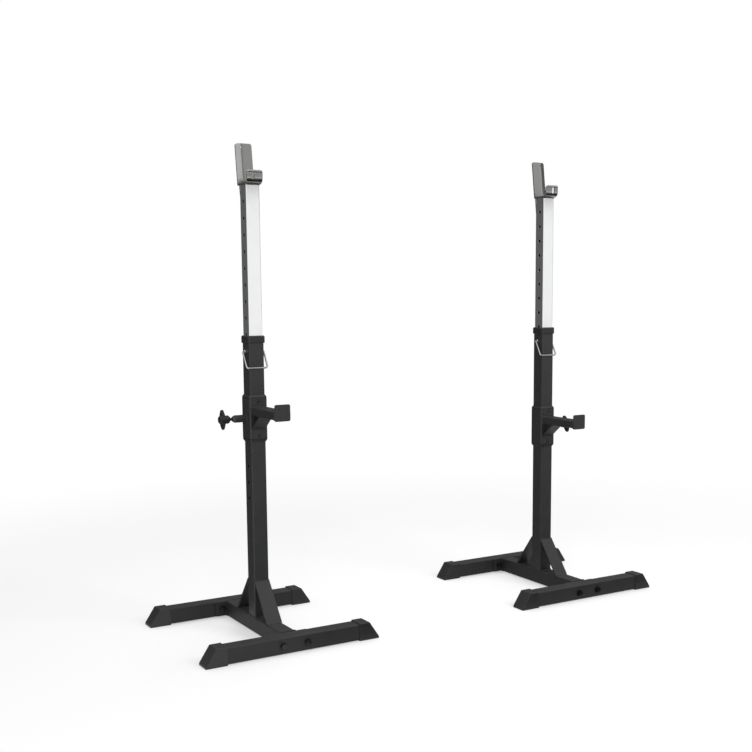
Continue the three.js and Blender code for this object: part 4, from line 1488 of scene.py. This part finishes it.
@dataclass(frozen=True)
class PullPin:
    """The sprung locking pin, its spring and the winged knob; the axis is X."""

    tip: float = 10 * MM
    tip_chamfer: float = 1 * MM
    tip_length: float = 9.5 * MM
    shoulder: float = 3 * MM
    stem: float = 8 * MM
    spring_wire: float = 1.4 * MM
    spring_turns: float = 9.0
    coil_steps: int = 28  # points to a turn
    closing: float = 0.35  # share of the smooth step in the coil's rise
    knob_span: float = 62 * MM
    knob_nose: float = 12 * MM
    knob_hub: float = 26 * MM
    knob_cone: float = 6 * MM
    knob_hub_length: float = 19 * MM
    wing_thickness: float = 11 * MM
    wing_power: float = 6.0
    knob_grip: float = 24 * MM

    def plunger(self) -> Skin:
        """The plunger: tip, shoulder and stem."""
        box = Envelope.of("lock_plunger")
        tip, wide, stem = self.tip / 2, box.size.z / 2, self.stem / 2
        start, step = box.low.x, box.low.x + self.tip_length
        profile = [
            (start, tip - self.tip_chamfer),
            (start + self.tip_chamfer, tip),
            (step, tip),
            (step, wide),
            (step + self.shoulder, wide),
            (step + self.shoulder, stem),
            (box.high.x, stem),
        ]
        return revolved(profile, edge=0.4 * MM)

    def spring(self) -> Skin:
        """The coil spring: a helix whose first and last turns lie closed.

        The place along X runs over the turns as a smooth step, 3 t^2 - 2 t^3, mixed with a
        straight line, so that the end turns close up.
        """
        box = Envelope.of("plunger_spring")
        radius = self.spring_wire / 2
        t = np.linspace(0, 1, int(self.spring_turns * self.coil_steps) + 1)
        eased = self.closing * (3 * t**2 - 2 * t**3) + (1 - self.closing) * t
        x = box.low.x + radius + (box.size.x - 2 * radius) * eased
        path = about_x(x, np.array(box.size.z / 2 - radius), 2 * math.pi * self.spring_turns * t)
        return wire(path, radius, pole=(1, 0, 0), sides=10)

    def knob(self) -> Skin:
        """The knob with its two wings upright.

        A row has a place, the hub's radius h and the wings' reach w; at the angle a from
        upright the radius is h + (w - h) cos(a)^power.
        """
        box = Envelope.of("star_knob")
        start, end, hub, wing = box.low.x, box.high.x, self.knob_hub / 2, self.knob_span / 2
        root, deep = start + self.knob_hub_length, self.wing_thickness
        profile = [
            (start, self.knob_nose / 2, self.knob_nose / 2),
            (start + self.knob_cone, hub * 0.97, hub * 0.97),
            (root - 2 * MM, hub, hub),
            (root, hub, wing * 0.72),
            (root + deep * 0.25, hub, wing * 0.98),
            (root + deep * 0.5, hub, wing),
            (root + deep * 0.8, hub, wing * 0.98),
            (root + deep, hub, wing * 0.76),
            (root + deep + 1 * MM, hub, hub),
            (end - 1.5 * MM, hub * 0.84, hub * 0.84),
            (end, hub * 0.5, hub * 0.5),
        ]
        x, waist, tip = rounded_profile(profile, radius=3 * MM, ring=False, steps=4).T[..., None]
        angle = angles(96)
        grid = about_x(x, waist + (tip - waist) * np.cos(angle) ** self.wing_power, angle)
        bore = rod(self.stem + 2 * SEAM, 2 * (self.knob_grip + SEAM), "X").moved(x=start)
        return Skin.over(grid[..., [0, 2, 1]]).carved(bore)

    def pieces(self) -> Iterator[Piece]:
        """The plunger, the spring and the knob."""
        for node, body, slot, skin, marks in (
            ("lock_plunger", "plunger", Slot.FASTENER_STEEL, self.plunger(), {}),
            ("plunger_spring", "carriage", Slot.SPRING_STEEL, self.spring(), {"squashed": True}),
            ("star_knob", "knob", Slot.KNOB_PLASTIC, self.knob(), {"winged": True}),
        ):
            yield Piece(node, body, slot, skin, carried=True, **marks)


@dataclass
class Stand:
    """One stand, which puts the pieces in their place and dresses them.

    Args:
        side: Which of the two stands.
        materials: The finish of each slot.
        sharp: Angle from which an edge is shaded sharp.
        cut: Angle from which an edge gets its rim.
        margin: How far past its inside a tube's points still count as inside.
    """

    side: Side
    materials: dict[Slot, bpy.types.Material]
    sharp: float = math.radians(32)
    cut: float = math.radians(50)
    margin: float = 0.1 * MM

    @property
    def pin_height(self) -> float:
        """Height of the locking pin's axis on this stand."""
        low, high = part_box(self.side.word + "_lock_plunger")
        return (low.z + high.z) / 2

    def placed(self, piece: Piece) -> Skin:
        """The piece's skin in its place on this stand."""
        skin = piece.skin.turned(-self.side.knob_turn, "X") if piece.winged else piece.skin
        skin = skin.moved(x=stand_centre(), z=self.pin_height if piece.carried else 0)
        return skin if self.side is Side.RIGHT else skin.mirrored(0)

    def build(self, piece: Piece) -> bpy.types.Object:
        """Makes the piece's object, dresses it and lets it ride on its body.

        Args:
            piece: The piece to build.

        Returns:
            The finished object.
        """
        node = f"{self.side.word}_{piece.node}"
        mesh = self.placed(piece).mesh(node + "_skin")
        mesh.polygons.foreach_set("use_smooth", np.ones(len(mesh.polygons), bool))
        mesh.set_sharp_from_angle(angle=self.sharp)
        if piece.hollow:
            self.mark_inside(mesh, piece.hollow)
        mesh.materials.append(self.materials[piece.slot])
        made = linked(node + "_skin", mesh)
        if piece.rim:
            bevel = made.modifiers.new("rim", "BEVEL")
            bevel.width, bevel.segments = piece.rim, 2
            bevel.limit_method, bevel.angle_limit = "ANGLE", self.cut
        normals = made.modifiers.new("flat_faces", "WEIGHTED_NORMAL")
        normals.keep_sharp, normals.weight = True, 100  # the largest faces stay flat
        if piece.squashed:
            self.shorten(made)
        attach(made, f"{self.side.word}_{piece.body}")
        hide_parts(node)
        faces = len(mesh.polygons)
        log.info("%s: %d faces on body %s_%s", made.name, faces, self.side.word, piece.body)
        return made

    def mark_inside(self, mesh: bpy.types.Mesh, hollow: float) -> None:
        """Marks the points of a tube that lie on its inside, which its finish darkens with painted
        shade.

        Args:
            mesh: The tube.
            hollow: Half the width of its inside.
        """
        points = np.empty(len(mesh.vertices) * 3, np.float32)
        mesh.vertices.foreach_get("co", points)
        across = np.abs(points.reshape(-1, 3)[:, :2] - (self.side.value * stand_centre(), 0))
        inside = across.max(axis=1) < hollow + self.margin
        mark = mesh.attributes.new(SHADED_INSIDE, "FLOAT", "POINT")
        mark.data.foreach_set("value", inside.astype(np.float32))

    def shorten(self, spring: bpy.types.Object) -> None:
        """Gives the spring its own mesh; nothing here shortens it by the pin's travel.

        Args:
            spring: The spring's object.
        """
        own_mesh(spring)


# Studio


def flat_sheet(name: str, low: Triple, high: Triple) -> bpy.types.Object:
    """A rectangle that lies square to one of the axes.

    Args:
        name: Its name.
        low: The corner where it starts.
        high: The opposite corner.

    Returns:
        The rectangle as an object.
    """
    first, second = (axis for axis in range(3) if low[axis] != high[axis])
    corners = np.tile(np.array(low, float), (4, 1))
    corners[1:3, first], corners[2:, second] = high[first], high[second]
    return linked(name, Skin(corners, np.arange(4), np.array([4])).mesh(name))


def seen_background(graph: Graph) -> Socket:
    """1 for camera, glossy and transmission rays, which see the background, and 0 for the rest."""
    path = graph.add("LightPath").outputs
    either = graph.math("MAXIMUM", path["Is Camera Ray"], path["Is Glossy Ray"])
    return graph.math("MAXIMUM", either, path["Is Transmission Ray"])


@dataclass(frozen=True)
class Lamp:
    """A square soft light, by its side and power; metal and gloss mirror the cards instead."""

    name: str
    place: Triple
    size: float
    watts: float
    aim: Triple = (0, 0, 0.7)

    def set_up(self) -> None:
        """Hangs the lamp."""
        data = bpy.data.lights.new(self.name, "AREA")
        data.shape, data.size, data.energy = "SQUARE", self.size, self.watts
        lamp = linked(self.name, data)
        lamp.location = self.place
        lamp.rotation_mode = "QUATERNION"
        way = Vector(self.aim) - Vector(self.place)
        lamp.rotation_quaternion = way.to_track_quat("-Z", "Y")
        lamp.visible_glossy = False


@dataclass(frozen=True)
class Card:
    """A card that only metal and gloss mirror, between two corners, with a grey level."""

    name: str
    low: Triple
    high: Triple
    level: float

    def set_up(self) -> None:
        """Hangs the card."""
        card = flat_sheet(self.name, self.low, self.high)
        material = bpy.data.materials.new(self.name)
        graph = fresh_graph(material)
        graph.add("OutputMaterial", {"Surface": graph.emission(self.level)})
        card.data.materials.append(material)
        card.visible_camera = card.visible_diffuse = card.visible_shadow = False
        card.visible_transmission = card.visible_volume_scatter = False


LAMPS = (
    Lamp("key_light", (1.5, -3.0, 2.6), 1.8, 62),
    Lamp("front_light", (-2.0, -3.2, 2.4), 1.6, 42),
    Lamp("top_light", (0.5, 0.9, 3.4), 2.0, 32),
)

CARDS = (
    Card("left_flag", (-3.4, -0.8, 0), (-3.4, 3.4, 2.8), 0.11),
    Card("back_flag", (-3.4, 3.4, 0), (6.5, 3.4, 4.6), 0.11),
    Card("floor_flag", (-3.4, 0.35, 0.004), (0.5, 3.4, 0.004), 0.11),
    Card("foot_flag", (-0.5, -0.3, 0.004), (3.4, 0.35, 0.004), 0.45),
    Card("near_flag", (-0.5, -2.2, 0.004), (3.4, -0.3, 0.004), 0.02),
    Card("far_flag", (-0.5, -3.9, 0.004), (3.4, -2.2, 0.004), 0.14),
    Card("low_card", (-1.5, -4.4, 0), (5.6, -4.4, 0.6), 0.15),
    Card("dark_card", (-0.2, -4.4, 1.84), (5.6, -4.4, 2.3), 0.06),
    Card("crease_card", (0.1, -4.4, 2.3), (0.8, -4.4, 5), 0.1),
    Card("high_card", (0.8, -4.4, 2.3), (5.6, -4.4, 5), 0.62),
    Card("right_flag", (5.6, -3.2, 0.8), (5.6, 1, 4.5), 0.12),
)


@dataclass(frozen=True)
class Studio:
    """A pale floor, soft light and what bright metal mirrors."""

    floor_reach: float = 14.0
    floor_colour: float = 0.95
    floor_glow: float = 0.35  # share of plain white on the floor, as it is seen near the stands
    glow_strength: float = 1.13  # makes up near the stands for the light that the floor lacks
    fade_start: float = 1.3
    fade_end: float = 3.2  # from here on the floor is as white as the background
    ambient: float = 0.5

    def faded(self, graph: Graph, near: float) -> Socket:
        """A value on the floor that goes from near to 1 with the distance from the middle."""
        away = graph.add("VectorMath", {0: graph.place()}, operation="LENGTH").outputs["Value"]
        limits = {0: away, 1: self.fade_start, 2: self.fade_end, 3: near, 4: 1.0}
        return graph.add("MapRange", limits, interpolation_type="SMOOTHSTEP").outputs[0]

    def floor(self) -> None:
        """A pale floor that keeps the shadows and fades into the white background."""
        half, level = self.floor_reach, self.floor_colour
        floor = flat_sheet("floor", (-half, -half, 0), (half, half, 0))
        material = bpy.data.materials.new("pale_floor")
        graph = fresh_graph(material)
        matt = graph.add("BsdfDiffuse", {"Color": (level, level, level, 1)}).outputs[0]
        bright = graph.emission(1, self.faded(graph, self.glow_strength))
        glow = self.faded(graph, self.floor_glow)
        share = graph.math("MULTIPLY", seen_background(graph), glow)
        mixed = graph.add("MixShader", {0: share, 1: matt, 2: bright}).outputs[0]
        graph.add("OutputMaterial", {"Surface": mixed})
        floor.data.materials.append(material)

    def world(self) -> None:
        """White where the background is seen, a plain even level where it lights the object."""
        world = bpy.data.worlds.new("studio")
        bpy.context.scene.world = world
        graph = fresh_graph(world)
        level, white = (
            graph.add("Background", {"Color": (1, 1, 1, 1), "Strength": strength}).outputs[0]
            for strength in (self.ambient, 1.0)
        )
        mixed = graph.add("MixShader", {0: seen_background(graph), 1: level, 2: white}).outputs[0]
        graph.add("OutputWorld", {"Surface": mixed})

    def set_up(self) -> None:
        """Floor, world, lamps and cards."""
        self.floor()
        self.world()
        for thing in (*LAMPS, *CARDS):
            thing.set_up()


@dataclass(frozen=True)
class PhotoCamera:
    """The camera at the photograph's place; angles in degrees, image places in pixels."""

    place: Triple = (-1.97775, -3.21161, 1.06625)
    yaw: float = 30.79  # from +Y towards +X
    pitch: float = -7.3
    roll: float = -0.4
    focal: float = 1132.7
    middle_u: float = 393.44
    middle_v: float = 435.92
    sensor: float = 36.0  # millimetres

    def set_up(self) -> None:
        """Makes the camera and the scene look through it."""
        data = bpy.data.cameras.new("photo_camera")
        data.sensor_width = self.sensor
        data.lens = self.focal / IMAGE_SIDE * self.sensor
        data.shift_x = (IMAGE_SIDE / 2 - self.middle_u) / IMAGE_SIDE
        data.shift_y = (self.middle_v - IMAGE_SIDE / 2) / IMAGE_SIDE
        yaw, pitch, roll = (math.radians(angle) for angle in (self.yaw, self.pitch, self.roll))
        flat = math.cos(pitch)
        ahead = Vector((math.sin(yaw) * flat, math.cos(yaw) * flat, math.sin(pitch)))
        level = Vector((math.cos(yaw), -math.sin(yaw), 0))
        above = level.cross(ahead)
        right = math.cos(roll) * level + math.sin(roll) * above
        up = -math.sin(roll) * level + math.cos(roll) * above
        camera = linked("photo_camera", data)
        turn = Matrix((right, up, -ahead)).transposed()
        camera.matrix_world = Matrix.Translation(self.place) @ turn.to_4x4()
        bpy.context.scene.camera = camera


def main() -> None:
    """Builds both stands, the studio and the camera."""
    logging.basicConfig(level=logging.INFO, format="%(name)s %(message)s")
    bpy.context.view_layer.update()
    bpy.context.scene.view_settings.view_transform = "Standard"
    PhotoCamera().set_up()
    Studio().set_up()
    materials = {finish.slot: finish.material() for finish in FINISHES}
    assemblies = (Base(), Post(), LockPin(), Mast(), Cradle(), Carriage(), PullPin())
    pieces = [piece for assembly in assemblies for piece in assembly.pieces()]
    for side in Side:
        stand = Stand(side, materials)
        built = [stand.build(piece) for piece in pieces]
        log.info("%s stand: %d pieces", side.word, len(built))


if __name__ == "__main__":
    main()
